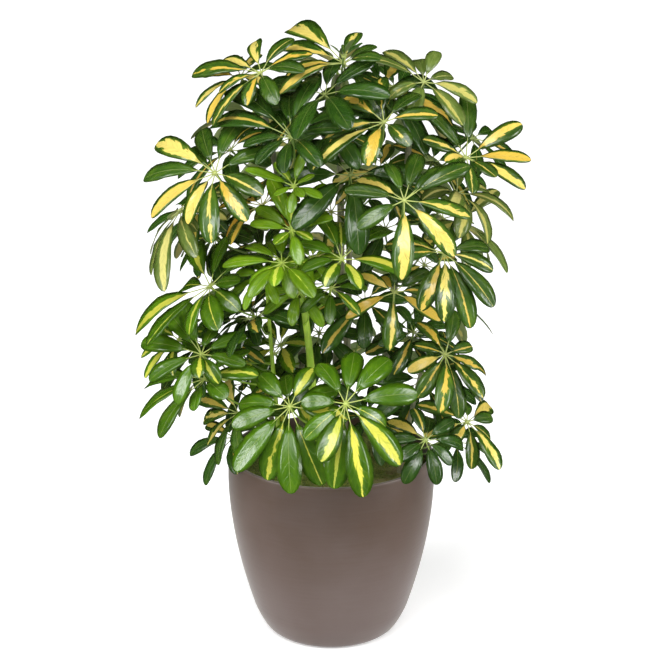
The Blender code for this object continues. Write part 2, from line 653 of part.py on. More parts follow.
def drill(target, label, low, high, cutters):
    """Bore a hole for each stem between two heights, and apply the cut."""
    holes = bpy.data.collections.new(f"{label}_holes")
    cutters.children.link(holes)
    for stem in STEMS:
        mesh = bpy.data.meshes.new(f"{label}_hole_{stem.name}")
        shape = bmesh.new()
        bmesh.ops.create_cone(
            shape, segments=HOLE_SIDES, cap_ends=True, depth=high - low,
            radius1=stem.radius + HOLE_SLACK, radius2=stem.radius + HOLE_SLACK,
        )
        bmesh.ops.translate(shape, verts=shape.verts, vec=(*stem.foot, (low + high) / 2))
        shape.to_mesh(mesh)
        shape.free()
        add_object(mesh.name, mesh, None, holes).display_type = "WIRE"
    boolean = target.modifiers.new("holes", "BOOLEAN")
    boolean.operation = "DIFFERENCE"
    boolean.operand_type = "COLLECTION"
    boolean.collection = holes
    boolean.solver = "EXACT"
    apply_modifiers(target)
    for hole in list(holes.objects):
        bpy.data.objects.remove(hole, do_unlink=True)
    bpy.data.collections.remove(holes)


def apply_modifiers(obj):
    """Swap the object's mesh for the one that its modifiers make."""
    graph = bpy.context.evaluated_depsgraph_get()
    mesh = bpy.data.meshes.new_from_object(obj.evaluated_get(graph))
    old = obj.data
    obj.modifiers.clear()
    obj.data = mesh
    mesh.name = obj.name
    bpy.data.meshes.remove(old)


def make_moss(material, collection, cutters):
    """A mat of moss on the soil: a thin disc whose top is raised in tufts by a formula."""
    low = SOIL_TOP + GAP
    high = low + MOSS_THICKNESS
    profile = [(0.0, high)]
    profile += [(MOSS_RADIUS * (i + 1) / (MOSS_RINGS + 1), high) for i in range(MOSS_RINGS)]
    profile += [(MOSS_RADIUS - MOSS_SHOULDER, high - MOSS_EDGE), (MOSS_RADIUS, low + MOSS_EDGE)]
    profile += [(MOSS_RADIUS - MOSS_EDGE, low), (0.0, low)]
    moss = turned("moss", profile, MOSS_STEPS, material, collection)
    apply_modifiers(moss)
    for vertex in moss.data.vertices:
        x, y, z = vertex.co
        if z > low + 0.5 * MOSS_THICKNESS:
            (per_x, from_x), (per_y, from_y) = MOSS_WAVES
            vertex.co.z += MOSS_BUMP * sin(per_x * x + from_x) * cos(per_y * y + from_y)
    drill(moss, "moss", low - CUT_PAST, high + 2 * CUT_PAST, cutters)
    return moss


def tube(name, path, radii, resolution, collection):
    """A solid tube along a path: a bevelled curve turned into a closed mesh."""
    curve = bpy.data.curves.new(name, "CURVE")
    curve.dimensions = "3D"
    curve.bevel_depth = 1.0
    curve.bevel_resolution = resolution
    curve.use_fill_caps = True
    spline = curve.splines.new("POLY")
    spline.points.add(len(path) - 1)
    for point, place, radius in zip(spline.points, path, radii):
        point.co = (*place, 1.0)
        point.radius = radius
    guide = bpy.data.objects.new(name + "_guide", curve)
    collection.objects.link(guide)
    graph = bpy.context.evaluated_depsgraph_get()
    mesh = bpy.data.meshes.new_from_object(guide.evaluated_get(graph))
    place = guide.matrix_world.copy()
    bpy.data.objects.remove(guide, do_unlink=True)
    shape = bmesh.new()
    shape.from_mesh(mesh)
    bmesh.ops.remove_doubles(shape, verts=shape.verts, dist=0.00001)
    bmesh.ops.recalc_face_normals(shape, faces=shape.faces)
    shape.to_mesh(mesh)
    shape.free()
    obj = add_object(name, mesh, None, collection)
    obj.matrix_world = place
    return obj


def make_stem(stem, materials, collection):
    """A stem: a tube that stands upright in its hole and thins towards its tip."""
    heights = stem.heights()
    obj = tube(f"stem_{stem.name}", [stem.at(z) for z in heights],
               [stem.radius_at(z) for z in heights], STEM_SIDES_RESOLUTION, collection)
    obj.data.materials.append(materials[stem.bark])
    obj.data.shade_smooth()
    return obj


def blade_ring(shape, leaflet, along, half):
    """Four points round the leaflet: its two edges, its top and its underside."""
    middle, side, upward = leaflet.frame(along)
    lifted = upward * (half * leaflet.fold)
    lowered = lifted - upward * (BLADE_THICKNESS / 2)
    return [shape.verts.new(middle - side * half + lowered),
            shape.verts.new(middle),
            shape.verts.new(middle + side * half + lowered),
            shape.verts.new(middle - upward * BLADE_THICKNESS)]


def skin(shape, near, far):
    """Join two rings of four, with each half of the top split like the underside below it."""
    for edge in (0, 2):
        for face in (1, 3):
            shape.faces.new((near[edge], far[edge], far[face]))
            shape.faces.new((near[edge], far[face], near[face]))


def umbrella_mesh(name, leaf, leaflets):
    """The hub with its leaflets, as one closed loft that branches round the hub."""
    shape = bmesh.new()
    axis, outward, aside = axes_of(leaf)
    hub = Vector(leaf.hub)
    leaflets = sorted(leaflets, key=lambda leaflet: leaflet.azimuth % (2 * pi))
    angles = [leaflet.azimuth % (2 * pi) for leaflet in leaflets]
    count = len(leaflets)
    top = shape.verts.new(hub + axis * HUB_HEIGHT)
    bottom = shape.verts.new(hub - axis * HUB_HEIGHT)
    between = []
    for k in range(count):
        following = angles[(k + 1) % count] + (2 * pi if k + 1 == count else 0)
        middle = (angles[k] + following) / 2
        between.append(shape.verts.new(hub + (outward * cos(middle) + aside * sin(middle)) * HUB_RADIUS))
    for k, leaflet in enumerate(leaflets):
        root = hub + leaflet.radial * (HUB_RADIUS * 1.1)
        raised = shape.verts.new(root + axis * (0.5 * HUB_HEIGHT))
        lowered = shape.verts.new(root - axis * (0.5 * HUB_HEIGHT))
        ring = [between[k - 1], raised, between[k], lowered]
        for edge in (0, 2):
            shape.faces.new((top, ring[edge], raised))
            shape.faces.new((bottom, ring[edge], lowered))
        for along, half in leaflet.stations():
            following = blade_ring(shape, leaflet, along, half)
            skin(shape, ring, following)
            ring = following
        tip = shape.verts.new(leaflet.frame(leaflet.stalk + leaflet.blade)[0])
        for i in range(4):
            shape.faces.new((ring[i], ring[(i + 1) % 4], tip))
    bmesh.ops.recalc_face_normals(shape, faces=shape.faces)
    mesh = bpy.data.meshes.new(name)
    shape.to_mesh(mesh)
    shape.free()
    return mesh


def make_leaf(name, leaf, path, leaflets, materials, collection, cutters):
    """One leaf: its umbrella of leaflets, joined to its leafstalk by a Boolean union."""
    obj = add_object(name, umbrella_mesh(name, leaf, leaflets), None, collection)
    stalks = bpy.data.collections.new(name + "_stalk")
    cutters.children.link(stalks)
    stalk = tube(name + "_petiole", path, petiole_radii(), 0, stalks)
    boolean = obj.modifiers.new("stalk", "BOOLEAN")
    boolean.operation = "UNION"
    boolean.operand_type = "COLLECTION"
    boolean.collection = stalks
    boolean.solver = "EXACT"
    apply_modifiers(obj)
    bpy.data.objects.remove(stalk, do_unlink=True)
    bpy.data.collections.remove(stalks)
    obj.data.materials.clear()
    obj.data.materials.append(materials[leaf.tint])
    return obj


def main():
    clear_scene()
    parts = new_collection(OBJECT_NAME)
    cutters = new_collection("cutters", hidden=True)
    materials = make_materials()
    make_planter(materials["pot"], parts)
    make_soil(materials["soil"], parts, cutters)
    make_moss(materials["moss"], parts, cutters)
    for stem in STEMS:
        make_stem(stem, materials, parts)
    wanted = 0
    kept = 0
    for name, leaf, path, leaflets in lay_out():
        make_leaf(name, leaf, path, leaflets, materials, parts, cutters)
        wanted += len(leaf.rays) or leaf.count
        kept += len(leaflets)
    bpy.data.collections.remove(cutters)
    print(f"{kept} of {wanted} leaflets placed")


main()
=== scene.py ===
"""Looks of a potted umbrella plant: a variegated dwarf schefflera in a round satin planter.

The planter, the moss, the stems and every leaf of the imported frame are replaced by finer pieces
that hold the same place. Metres, +Z up, -Y is the front, and the origin is the middle of the
planter's base.
"""

import logging
import random
from collections.abc import Callable, Sequence
from dataclasses import dataclass, replace
from enum import Enum, IntEnum
from itertools import product
from math import atan2, ceil, cos, degrees, hypot, pi, radians, sin, sqrt, tan

import bmesh
import bpy
from mathutils import Matrix, Vector, noise
from mathutils.bvhtree import BVHTree


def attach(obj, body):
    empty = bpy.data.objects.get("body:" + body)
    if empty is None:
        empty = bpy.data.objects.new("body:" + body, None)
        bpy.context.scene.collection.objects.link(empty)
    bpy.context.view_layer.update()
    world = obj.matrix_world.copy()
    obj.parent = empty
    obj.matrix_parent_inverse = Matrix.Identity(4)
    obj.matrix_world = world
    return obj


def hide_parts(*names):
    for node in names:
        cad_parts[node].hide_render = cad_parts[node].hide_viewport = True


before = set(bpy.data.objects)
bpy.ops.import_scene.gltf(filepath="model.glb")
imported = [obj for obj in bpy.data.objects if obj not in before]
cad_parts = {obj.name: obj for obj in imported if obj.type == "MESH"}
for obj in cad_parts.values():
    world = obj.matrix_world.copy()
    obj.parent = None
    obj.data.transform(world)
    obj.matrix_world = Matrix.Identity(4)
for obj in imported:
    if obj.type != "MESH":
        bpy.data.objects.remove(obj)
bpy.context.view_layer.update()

logging.basicConfig(level=logging.INFO, format="%(message)s")
LOG = logging.getLogger("umbrella_plant")

GAP = 0.0004
POLE_MERGE = 1e-7
SEAM_MERGE = 1e-6
COLOUR = tuple[float, float, float]
POINT = tuple[float, float, float]
PAIR = tuple[float, float]
NUDGE = tuple[float, float, float, float, float]
ENVELOPE = tuple[list[Vector], list[list[int]]]
SOLID = tuple[BVHTree, Vector, Vector]


# ---------------------------------------------------------------- the plant's layout


@dataclass(frozen=True)
class PlanterSize:
    """The planter's sizes: a belly near the rim, a taper below it and a rounded lower edge."""

    height: float = 0.320
    rim_radius: float = 0.173
    belly_radius: float = 0.176
    belly_height: float = 0.275
    taper: float = 0.0575
    taper_power: float = 1.8
    base_radius: float = 0.103
    edge_height: float = 0.045
    edge: tuple[PAIR, ...] = ((0.73, 0.56), (0.42, 0.18))
    wall: float = 0.006
    floor: float = 0.008

    def radius(self, z: float) -> float:
        """The outer radius at a height, above the rounded lower edge.

        Args:
            z: The height above the base.

        Returns:
            The radius of the outer wall there.
        """
        if z > self.belly_height:
            share = (z - self.belly_height) / (self.height - self.belly_height)
            return self.belly_radius - (self.belly_radius - self.rim_radius) * share * share
        share = (self.belly_height - z) / self.belly_height
        return self.belly_radius - self.taper * share**self.taper_power

    def inner_radius(self, z: float) -> float:
        """The inner radius at a height: less at the floor's rounded corner.

        Args:
            z: The height above the base.

        Returns:
            The radius of the inner wall there.
        """
        if z < self.edge_height:
            foot = self.radius(self.edge_height)
            return self.base_radius + 0.5 * (foot - self.base_radius) - self.wall
        return self.radius(z) - self.wall


@dataclass(frozen=True)
class GroundSize:
    """The soil in the planter and the mat of moss on it."""

    top: float = 0.290
    hole_depth: float = 0.090
    moss_radius: float = 0.160
    moss_thickness: float = 0.012
    moss_bump: float = 0.003

    @property
    def rise_from(self) -> float:
        """The height from which the stems are free to lean."""
        return self.top + self.moss_thickness


@dataclass(frozen=True)
class LeafSize:
    """Sizes that all the leaves share."""

    petiole_radius: float = 0.0015
    foot_radius: float = 0.0026
    foot_length: float = 0.007
    foot_gap: float = 0.0013
    hub_radius: float = 0.0042
    hub_height: float = 0.0022
    hub_sides: int = 5
    stalk_radius: float = 0.0011
    thickness: float = 0.0018
    margin: float = 0.0014
    near_shorter: float = 0.40
    closest: float = 11
    eye_pitch: float = 17
    most_foreshortened: float = 1.5
    full_spacing: float = 40
    reach: float = 2.4
    least_bend: float = 4
    stations: tuple[PAIR, ...] = ((0.34, 0.80), (0.76, 0.94))
    petiole_out: float = 0.35
    petiole_in: float = 0.40
    petiole_drop: float = 0.02
    petiole_slope: float = 0.45
    below_tip: float = 0.012
    petiole_shares: tuple[float, ...] = (0.38, 0.70, 1.0)
    petiole_tries: tuple[float, ...] = (0.0, 0.015, -0.015, 0.03, -0.03, 0.05, -0.05, 0.07)


POT = PlanterSize()
GROUND = GroundSize()
SIZES = LeafSize()
STEM_TIP_SHARE = 0.55
STEM_POINTS = 7
STEM_LEAN = 0.6
POT_RINGS = (0.08, 0.18)


class Tint(Enum):
    """The colourings of a leaf."""

    GOLD = "gold"
    # A darker green leaf that is also painted shade: every colour of it is darker, for leaves that sit in
    # shade.
    DARK = "dark"
    FRESH = "fresh"
    PALE = "pale"
    OLIVE = "olive"
    AMBER = "amber"


class Bark(Enum):
    """The two ages of stem."""

    WOODY = "bark"
    SHOOT = "shoot"


@dataclass(frozen=True)
class Habit:
    """How a leaf holds its leaflets: angles in degrees, sizes as shares of the blade's length."""

    lift: float
    bend: float
    stalk: float
    width: float
    fold: float


SPREAD = Habit(lift=14, bend=44, stalk=0.24, width=0.32, fold=11)
FLAT = Habit(lift=8, bend=38, stalk=0.27, width=0.36, fold=9)
HANGING = Habit(lift=-4, bend=38, stalk=0.22, width=0.28, fold=12)
ARCHED = Habit(lift=24, bend=72, stalk=0.20, width=0.31, fold=11)
RISING = Habit(lift=26, bend=30, stalk=0.26, width=0.31, fold=12)
YOUNG = Habit(lift=18, bend=22, stalk=0.20, width=0.32, fold=14)
SHOOT = Habit(lift=62, bend=14, stalk=0.16, width=0.26, fold=18)


@dataclass(frozen=True)
class Leaf:
    """One umbrella leaf: its hub, the way it faces, its leaflets, and how it holds them.

    Facing is the compass direction that the leaf tips towards (0 is +X, 90 is +Y), and tilt is
    how far it tips from lying level. Rays, where given, are its leaflets' directions as seen
    from in front (0 is down, 90 is right) with their lengths as shares of the blade's length.
    A leaf without rays has evenly spread leaflets.
    """

    hub: POINT
    facing: float
    tilt: float
    count: int
    blade: float
    habit: Habit
    tint: Tint
    rays: tuple[PAIR, ...] = ()

    def axes(self) -> tuple[Vector, Vector, Vector]:
        """The leaf's axis, and two directions square to it and to each other.

        Returns:
            Three unit vectors: the axis, the outward direction and the sideways one.
        """
        facing, tilt = radians(self.facing), radians(self.tilt)
        axis = Vector((cos(facing) * sin(tilt), sin(facing) * sin(tilt), cos(tilt)))
        outward = Vector((cos(facing) * cos(tilt), sin(facing) * cos(tilt), -sin(tilt)))
        return axis, outward, axis.cross(outward)

    def seen_ray(self, angle: float, share: float) -> tuple[float, float]:
        """The azimuth and true share of a leaflet that looks this way from in front.

        Args:
            angle: The direction seen from in front, in degrees: 0 is down and 90 is right.
            share: The length seen from in front, as a share of the blade's length.

        Returns:
            The azimuth round the leaf's axis in degrees, and the leaflet's own share.
        """
        _, outward, aside = self.axes()
        upright = Vector((0.0, sin(radians(SIZES.eye_pitch)), cos(radians(SIZES.eye_pitch))))
        right, up = sin(radians(angle)), -cos(radians(angle))
        across = outward.x * aside.dot(upright) - aside.x * outward.dot(upright)
        along = (right * aside.dot(upright) - aside.x * up) / across
        round_it = (outward.x * up - right * outward.dot(upright)) / across
        return degrees(atan2(round_it, along)), share * min(hypot(along, round_it), SIZES.most_foreshortened)

    def wanted(self) -> list[tuple[float, float]]:
        """(azimuth, share of the blade's length) of each leaflet: longest away from the stem.

        Returns:
            One pair for each leaflet, with the azimuth in degrees.
        """
        if self.rays:
            return [self.seen_ray(angle, share) for angle, share in self.rays]
        found = []
        for k in range(self.count):
            azimuth = 360 * k / self.count
            found.append((azimuth, 1 - SIZES.near_shorter * (1 - cos(radians(azimuth))) / 2))
        return found


@dataclass(frozen=True)
class Stem:
    """One stem, from its foot in the soil to its tip, with its leaves from the bottom up."""

    name: str
    foot: PAIR
    tip: POINT
    bow: PAIR
    radius: float
    bark: Bark
    leaves: tuple[Leaf, ...]

    def risen(self, z: float) -> float:
        """How far up its free length a height is: 0 at the moss and 1 at the tip."""
        return min(max((z - GROUND.rise_from) / (self.tip[2] - GROUND.rise_from), 0.0), 1.0)

    def at(self, z: float) -> Vector:
        """The middle of the stem at a height, upright in the soil and bowed above it.

        Args:
            z: The height above the planter's base.

        Returns:
            The point in the stem's middle.
        """
        rise = self.risen(z)
        lean = rise * rise * (1 + STEM_LEAN - STEM_LEAN * rise)
        aside = sin(pi * rise)
        return Vector((
            self.foot[0] + (self.tip[0] - self.foot[0]) * lean + self.bow[0] * aside,
            self.foot[1] + (self.tip[1] - self.foot[1]) * lean + self.bow[1] * aside,
            z,
        ))

    def radius_at(self, z: float) -> float:
        """The stem's radius at a height: it thins from the soil up to its tip."""
        return self.radius * (1.0 - (1.0 - STEM_TIP_SHARE) * self.risen(z))

    def distance(self, point: POINT) -> float:
        """How far a point stands from the stem's middle at the point's height."""
        middle = self.at(point[2])
        return hypot(middle[0] - point[0], middle[1] - point[1])

    def heights(self) -> list[float]:
        """The heights of the points that the stem is drawn through.

        Returns:
            The heights, from the stem's foot in the soil to its tip.
        """
        low = GROUND.top - GROUND.hole_depth + GAP
        rise = self.tip[2] - GROUND.rise_from
        return [low] + [GROUND.rise_from + rise * i / (STEM_POINTS - 2) for i in range(STEM_POINTS - 1)]


STEMS = (
    Stem("tall", (0.000, 0.030), (0.010, 0.000, 0.955), (0.012, 0.010), 0.0085, Bark.WOODY, (
        Leaf((0.03, -0.11, 0.82), -85, 46, 8, 0.122, SPREAD, Tint.DARK),
        Leaf((0.00, -0.09, 0.885), -95, 38, 0, 0.105, SPREAD, Tint.DARK, rays=(
            (330, 0.55), (2, 0.50), (32, 0.60), (65, 0.70), (96, 0.65), (132, 0.55), (182, 0.50),
            (232, 0.60), (285, 0.60))),
        Leaf((0.08, -0.15, 0.91), -115, 36, 0, 0.110, SPREAD, Tint.GOLD, rays=(
            (281, 0.75), (307, 1.05), (337, 0.60), (43, 0.45), (185, 0.60), (230, 0.60), (100, 0.60))),
        Leaf((-0.01, -0.08, 0.94), -115, 40, 8, 0.118, SPREAD, Tint.DARK),
        Leaf((0.01, 0.12, 0.95), 85, 34, 7, 0.110, SPREAD, Tint.GOLD),
        Leaf((0.02, -0.05, 0.985), -115, 34, 0, 0.105, SPREAD, Tint.GOLD, rays=(
            (224, 1.16), (253, 0.92), (274, 0.85), (309, 0.95), (345, 0.60), (24, 0.65), (84, 0.50),
            (112, 0.45))),
        Leaf((0.019, -0.065, 0.997), -60, 12, 5, 0.038, SHOOT, Tint.DARK),
    )),
    Stem("left", (-0.050, 0.010), (-0.110, 0.000, 0.915), (0.010, 0.010), 0.0080, Bark.WOODY, (
        Leaf((-0.19, 0.02, 0.69), 200, 42, 0, 0.105, SPREAD, Tint.DARK, rays=(
            (282, 0.60), (337, 0.60), (9, 0.75), (60, 0.60), (110, 0.50), (200, 0.40))),
        Leaf((-0.19, 0.12, 0.71), 150, 44, 7, 0.110, SPREAD, Tint.GOLD),
        Leaf((-0.24, -0.07, 0.755), -165, 40, 0, 0.105, HANGING, Tint.GOLD, rays=(
            (305, 0.70), (324, 0.85), (339, 0.90), (354, 0.65), (25, 0.30), (260, 0.35))),
        Leaf((-0.11, -0.06, 0.76), -160, 34, 0, 0.100, SPREAD, Tint.GOLD, rays=(
            (284, 0.65), (329, 0.65), (15, 0.50), (60, 0.50), (180, 0.50), (235, 0.60))),
        Leaf((-0.18, -0.12, 0.825), -120, 40, 0, 0.110, SPREAD, Tint.GOLD, rays=(
            (268, 0.95), (249, 0.90), (222, 0.70), (192, 0.62), (158, 0.82), (114, 0.70), (66, 0.66),
            (38, 0.60), (2, 0.75), (300, 0.98))),
        Leaf((-0.06, -0.14, 0.885), -125, 32, 0, 0.112, SPREAD, Tint.DARK, rays=(
            (252, 1.10), (232, 1.00), (207, 0.80), (184, 0.75), (156, 0.70), (124, 0.95), (95, 0.60),
            (308, 0.50), (350, 0.45), (30, 0.50))),
        Leaf((-0.13, 0.10, 0.88), 130, 36, 7, 0.105, SPREAD, Tint.GOLD),
        Leaf((-0.11, -0.05, 0.97), -130, 36, 0, 0.100, SPREAD, Tint.GOLD, rays=(
            (267, 0.92), (244, 0.72), (194, 0.50), (137, 0.65), (289, 0.60), (305, 0.90))),
    )),
    Stem("right", (0.085, -0.010), (0.130, -0.010, 0.905), (0.004, 0.006), 0.0080, Bark.WOODY, (
        Leaf((0.10, -0.11, 0.63), -95, 46, 6, 0.080, SPREAD, Tint.GOLD),
        Leaf((0.175, -0.15, 0.705), -80, 42, 0, 0.105, SPREAD, Tint.GOLD, rays=(
            (278, 0.65), (143, 0.55), (72, 0.65), (46, 0.88), (21, 0.88), (357, 0.80), (334, 0.70),
            (210, 0.50))),
        Leaf((0.19, 0.10, 0.70), 40, 44, 7, 0.105, SPREAD, Tint.GOLD),
        Leaf((0.20, -0.05, 0.777), -35, 34, 0, 0.105, ARCHED, Tint.GOLD, rays=(
            (42, 0.80), (66, 0.90), (92, 0.50), (12, 0.60), (335, 0.50), (180, 0.40))),
        Leaf((0.11, -0.20, 0.80), -85, 46, 0, 0.100, SPREAD, Tint.GOLD, rays=(
            (74, 0.90), (44, 0.95), (357, 0.95), (299, 0.65), (258, 0.75), (202, 0.60), (170, 0.70),
            (136, 0.75), (111, 0.90))),
        Leaf((0.21, -0.10, 0.845), -66, 44, 0, 0.105, RISING, Tint.GOLD, rays=(
            (178, 0.75), (112, 0.72), (80, 0.80), (63, 0.82), (38, 0.50), (5, 0.55), (258, 0.60),
            (238, 0.70))),
        Leaf((0.15, 0.11, 0.87), 55, 36, 7, 0.105, SPREAD, Tint.GOLD),
        Leaf((0.08, -0.05, 0.945), -60, 38, 8, 0.112, SPREAD, Tint.DARK),
        Leaf((0.145, -0.05, 0.955), -75, 34, 0, 0.098, SPREAD, Tint.GOLD, rays=(
            (247, 0.90), (190, 0.45), (155, 0.45), (109, 0.45), (72, 0.75), (36, 0.85), (340, 0.50))),
    )),
    Stem("young", (-0.030, -0.070), (-0.065, -0.100, 0.745), (0.006, -0.006), 0.0078, Bark.SHOOT, (
        Leaf((0.016, -0.18, 0.703), -75, 30, 0, 0.100, SPREAD, Tint.FRESH, rays=(
            (77, 0.80), (123, 0.85), (150, 0.65), (176, 0.60), (209, 0.60), (249, 0.60), (283, 0.50),
            (330, 0.40), (30, 0.45))),
        Leaf((-0.076, -0.17, 0.694), -110, 28, 0, 0.088, SPREAD, Tint.PALE, rays=(
            (272, 0.85), (246, 0.70), (218, 0.70), (186, 0.45), (130, 0.50), (90, 0.45), (52, 0.80),
            (315, 0.70), (292, 0.60), (350, 0.45), (22, 0.45))),
        Leaf((-0.060, -0.165, 0.745), -95, 34, 0, 0.078, YOUNG, Tint.PALE, rays=(
            (207, 0.85), (156, 0.85), (126, 0.80), (233, 0.75), (268, 0.70), (181, 0.60), (320, 0.40),
            (60, 0.40))),
        Leaf((-0.057, -0.160, 0.813), -110, 30, 0, 0.066, YOUNG, Tint.PALE, rays=(
            (261, 1.00), (232, 0.55), (190, 0.40), (110, 0.45), (300, 0.45), (30, 0.40))),
    )),
    Stem("thin", (-0.085, -0.045), (-0.105, -0.080, 0.660), (-0.004, 0.000), 0.0046, Bark.SHOOT, (
        Leaf((-0.203, -0.13, 0.492), -150, 40, 0, 0.112, FLAT, Tint.FRESH, rays=(
            (275, 0.82), (293, 0.90), (316, 0.90), (340, 0.38), (55, 0.35))),
        Leaf((-0.207, -0.13, 0.533), -112, 44, 0, 0.105, SPREAD, Tint.FRESH, rays=(
            (260, 0.85), (230, 0.78), (200, 0.62), (155, 0.40), (112, 0.62), (82, 0.60), (40, 0.42),
            (5, 0.42))),
        Leaf((-0.12, -0.10, 0.585), 180, 34, 0, 0.105, SPREAD, Tint.DARK, rays=(
            (282, 0.65), (298, 0.65), (240, 0.55), (20, 0.40), (180, 0.40))),
        Leaf((-0.193, -0.10, 0.637), -150, 42, 0, 0.120, FLAT, Tint.FRESH, rays=(
            (294, 1.02), (311, 0.92), (331, 0.58), (262, 0.50), (10, 0.50), (58, 0.35), (100, 0.35))),
    )),
    Stem("low_front", (0.000, -0.110), (-0.015, -0.125, 0.465), (0.004, 0.000), 0.0055, Bark.SHOOT, (
        Leaf((-0.065, -0.195, 0.468), -105, 46, 0, 0.118, FLAT, Tint.FRESH, rays=(
            (262, 0.62), (232, 0.50), (151, 0.50), (288, 0.65), (312, 0.92), (334, 0.82), (357, 0.88),
            (20, 0.80), (77, 0.60), (195, 0.45))),
        Leaf((0.022, -0.215, 0.48), -82, 46, 0, 0.118, FLAT, Tint.FRESH, rays=(
            (211, 0.55), (179, 0.60), (140, 0.68), (97, 0.80), (47, 0.85), (21, 0.92), (337, 0.65),
            (263, 0.50), (305, 0.55), (356, 0.82), (72, 0.55))),
        Leaf((0.055, -0.06, 0.60), -90, 40, 0, 0.105, SPREAD, Tint.DARK, rays=(
            (278, 0.75), (235, 0.55), (318, 0.85), (0, 0.60), (40, 0.60), (90, 0.55), (180, 0.50))),
    )),
    Stem("low_right", (0.115, -0.060), (0.150, -0.070, 0.500), (0.004, 0.000), 0.0055, Bark.WOODY, (
        Leaf((0.222, -0.10, 0.407), -50, 46, 0, 0.095, FLAT, Tint.GOLD, rays=(
            (318, 0.32), (58, 0.45), (9, 0.62), (26, 0.80), (98, 0.35), (180, 0.35))),
        Leaf((0.150, -0.17, 0.402), -75, 46, 0, 0.095, SPREAD, Tint.DARK, rays=(
            (48, 0.52), (18, 0.62), (341, 0.66), (308, 0.55), (124, 0.50), (200, 0.50), (265, 0.55))),
        Leaf((0.15, -0.04, 0.46), -60, 42, 7, 0.100, SPREAD, Tint.DARK),
        Leaf((0.184, -0.10, 0.523), -66, 48, 0, 0.098, SPREAD, Tint.GOLD, rays=(
            (170, 0.62), (251, 0.45), (328, 0.68), (352, 0.80), (14, 0.92), (35, 0.82), (69, 0.50),
            (110, 0.45))),
    )),
    Stem("low_left", (-0.095, 0.040), (-0.125, 0.020, 0.490), (-0.004, 0.000), 0.0055, Bark.WOODY, (
        Leaf((-0.152, -0.10, 0.422), -145, 46, 0, 0.100, SPREAD, Tint.GOLD, rays=(
            (282, 0.55), (307, 0.62), (331, 0.74), (256, 0.52), (200, 0.50), (150, 0.45), (5, 0.60))),
        Leaf((-0.20, 0.05, 0.45), 165, 48, 7, 0.095, SPREAD, Tint.DARK),
    )),
    Stem("back", (0.020, 0.095), (0.030, 0.125, 0.760), (0.006, 0.006), 0.0078, Bark.WOODY, (
        Leaf((-0.10, 0.19, 0.43), 115, 48, 7, 0.105, SPREAD, Tint.DARK),
        Leaf((0.09, 0.21, 0.44), 70, 48, 7, 0.105, SPREAD, Tint.DARK),
        Leaf((0.17, 0.16, 0.55), 40, 44, 7, 0.120, SPREAD, Tint.GOLD),
        Leaf((-0.14, 0.17, 0.57), 125, 44, 7, 0.120, SPREAD, Tint.DARK),
        Leaf((0.01, 0.23, 0.61), 90, 46, 8, 0.115, SPREAD, Tint.GOLD),
        Leaf((0.10, 0.20, 0.77), 65, 42, 7, 0.120, SPREAD, Tint.DARK),
        Leaf((-0.05, 0.20, 0.80), 100, 42, 7, 0.120, SPREAD, Tint.GOLD),
    )),
)

# The small leaves inside the plant: the hub, the blade's length and the colouring of each. Most of them take
# the dark colouring, which paints the shade inside the plant into their colour.
INNER = (
    ((0.215, 0.020, 0.715), 0.095, Tint.OLIVE), ((-0.165, 0.040, 0.830), 0.095, Tint.DARK),
    ((-0.020, 0.010, 0.525), 0.085, Tint.DARK), ((-0.085, -0.010, 0.510), 0.080, Tint.FRESH),
    ((-0.215, 0.030, 0.735), 0.090, Tint.DARK), ((0.125, 0.000, 0.515), 0.085, Tint.DARK),
    ((0.155, 0.020, 0.640), 0.090, Tint.GOLD), ((-0.110, -0.010, 0.670), 0.085, Tint.DARK),
    ((-0.010, -0.030, 0.460), 0.080, Tint.DARK), ((0.090, 0.030, 0.700), 0.090, Tint.DARK),
    ((-0.215, 0.000, 0.510), 0.090, Tint.DARK), ((-0.165, -0.020, 0.350), 0.080, Tint.DARK),
    ((-0.070, -0.020, 0.440), 0.075, Tint.FRESH), ((-0.030, 0.010, 0.610), 0.085, Tint.DARK),
    ((0.000, 0.000, 0.735), 0.085, Tint.GOLD), ((-0.140, -0.010, 0.445), 0.080, Tint.DARK),
    ((0.165, 0.030, 0.810), 0.090, Tint.DARK), ((0.060, -0.050, 0.400), 0.080, Tint.DARK),
    ((0.075, -0.010, 0.805), 0.085, Tint.GOLD), ((0.105, 0.030, 0.930), 0.085, Tint.DARK),
    ((-0.040, 0.020, 0.900), 0.090, Tint.DARK), ((0.210, -0.020, 0.330), 0.075, Tint.DARK),
    ((-0.105, -0.120, 0.660), 0.060, Tint.PALE), ((-0.030, -0.130, 0.690), 0.055, Tint.PALE),
    ((0.000, -0.120, 0.640), 0.060, Tint.FRESH), ((-0.050, -0.120, 0.635), 0.060, Tint.PALE),
    ((-0.145, 0.000, 0.955), 0.080, Tint.GOLD), ((0.225, -0.020, 0.860), 0.080, Tint.DARK),
    ((-0.205, 0.030, 0.685), 0.065, Tint.OLIVE), ((0.135, -0.050, 0.545), 0.080, Tint.DARK),
    ((0.190, -0.030, 0.500), 0.080, Tint.DARK), ((-0.130, -0.030, 0.575), 0.075, Tint.DARK),
    ((-0.250, -0.050, 0.520), 0.070, Tint.FRESH), ((-0.165, -0.050, 0.530), 0.070, Tint.DARK),
)
# Leaves whose colouring differs from their stem's table entry.
TINTS = {
    "leaf_right_4": Tint.OLIVE,
    "leaf_right_9": Tint.OLIVE,
    "leaf_left_3": Tint.OLIVE,
    "leaf_left_4": Tint.AMBER,
}
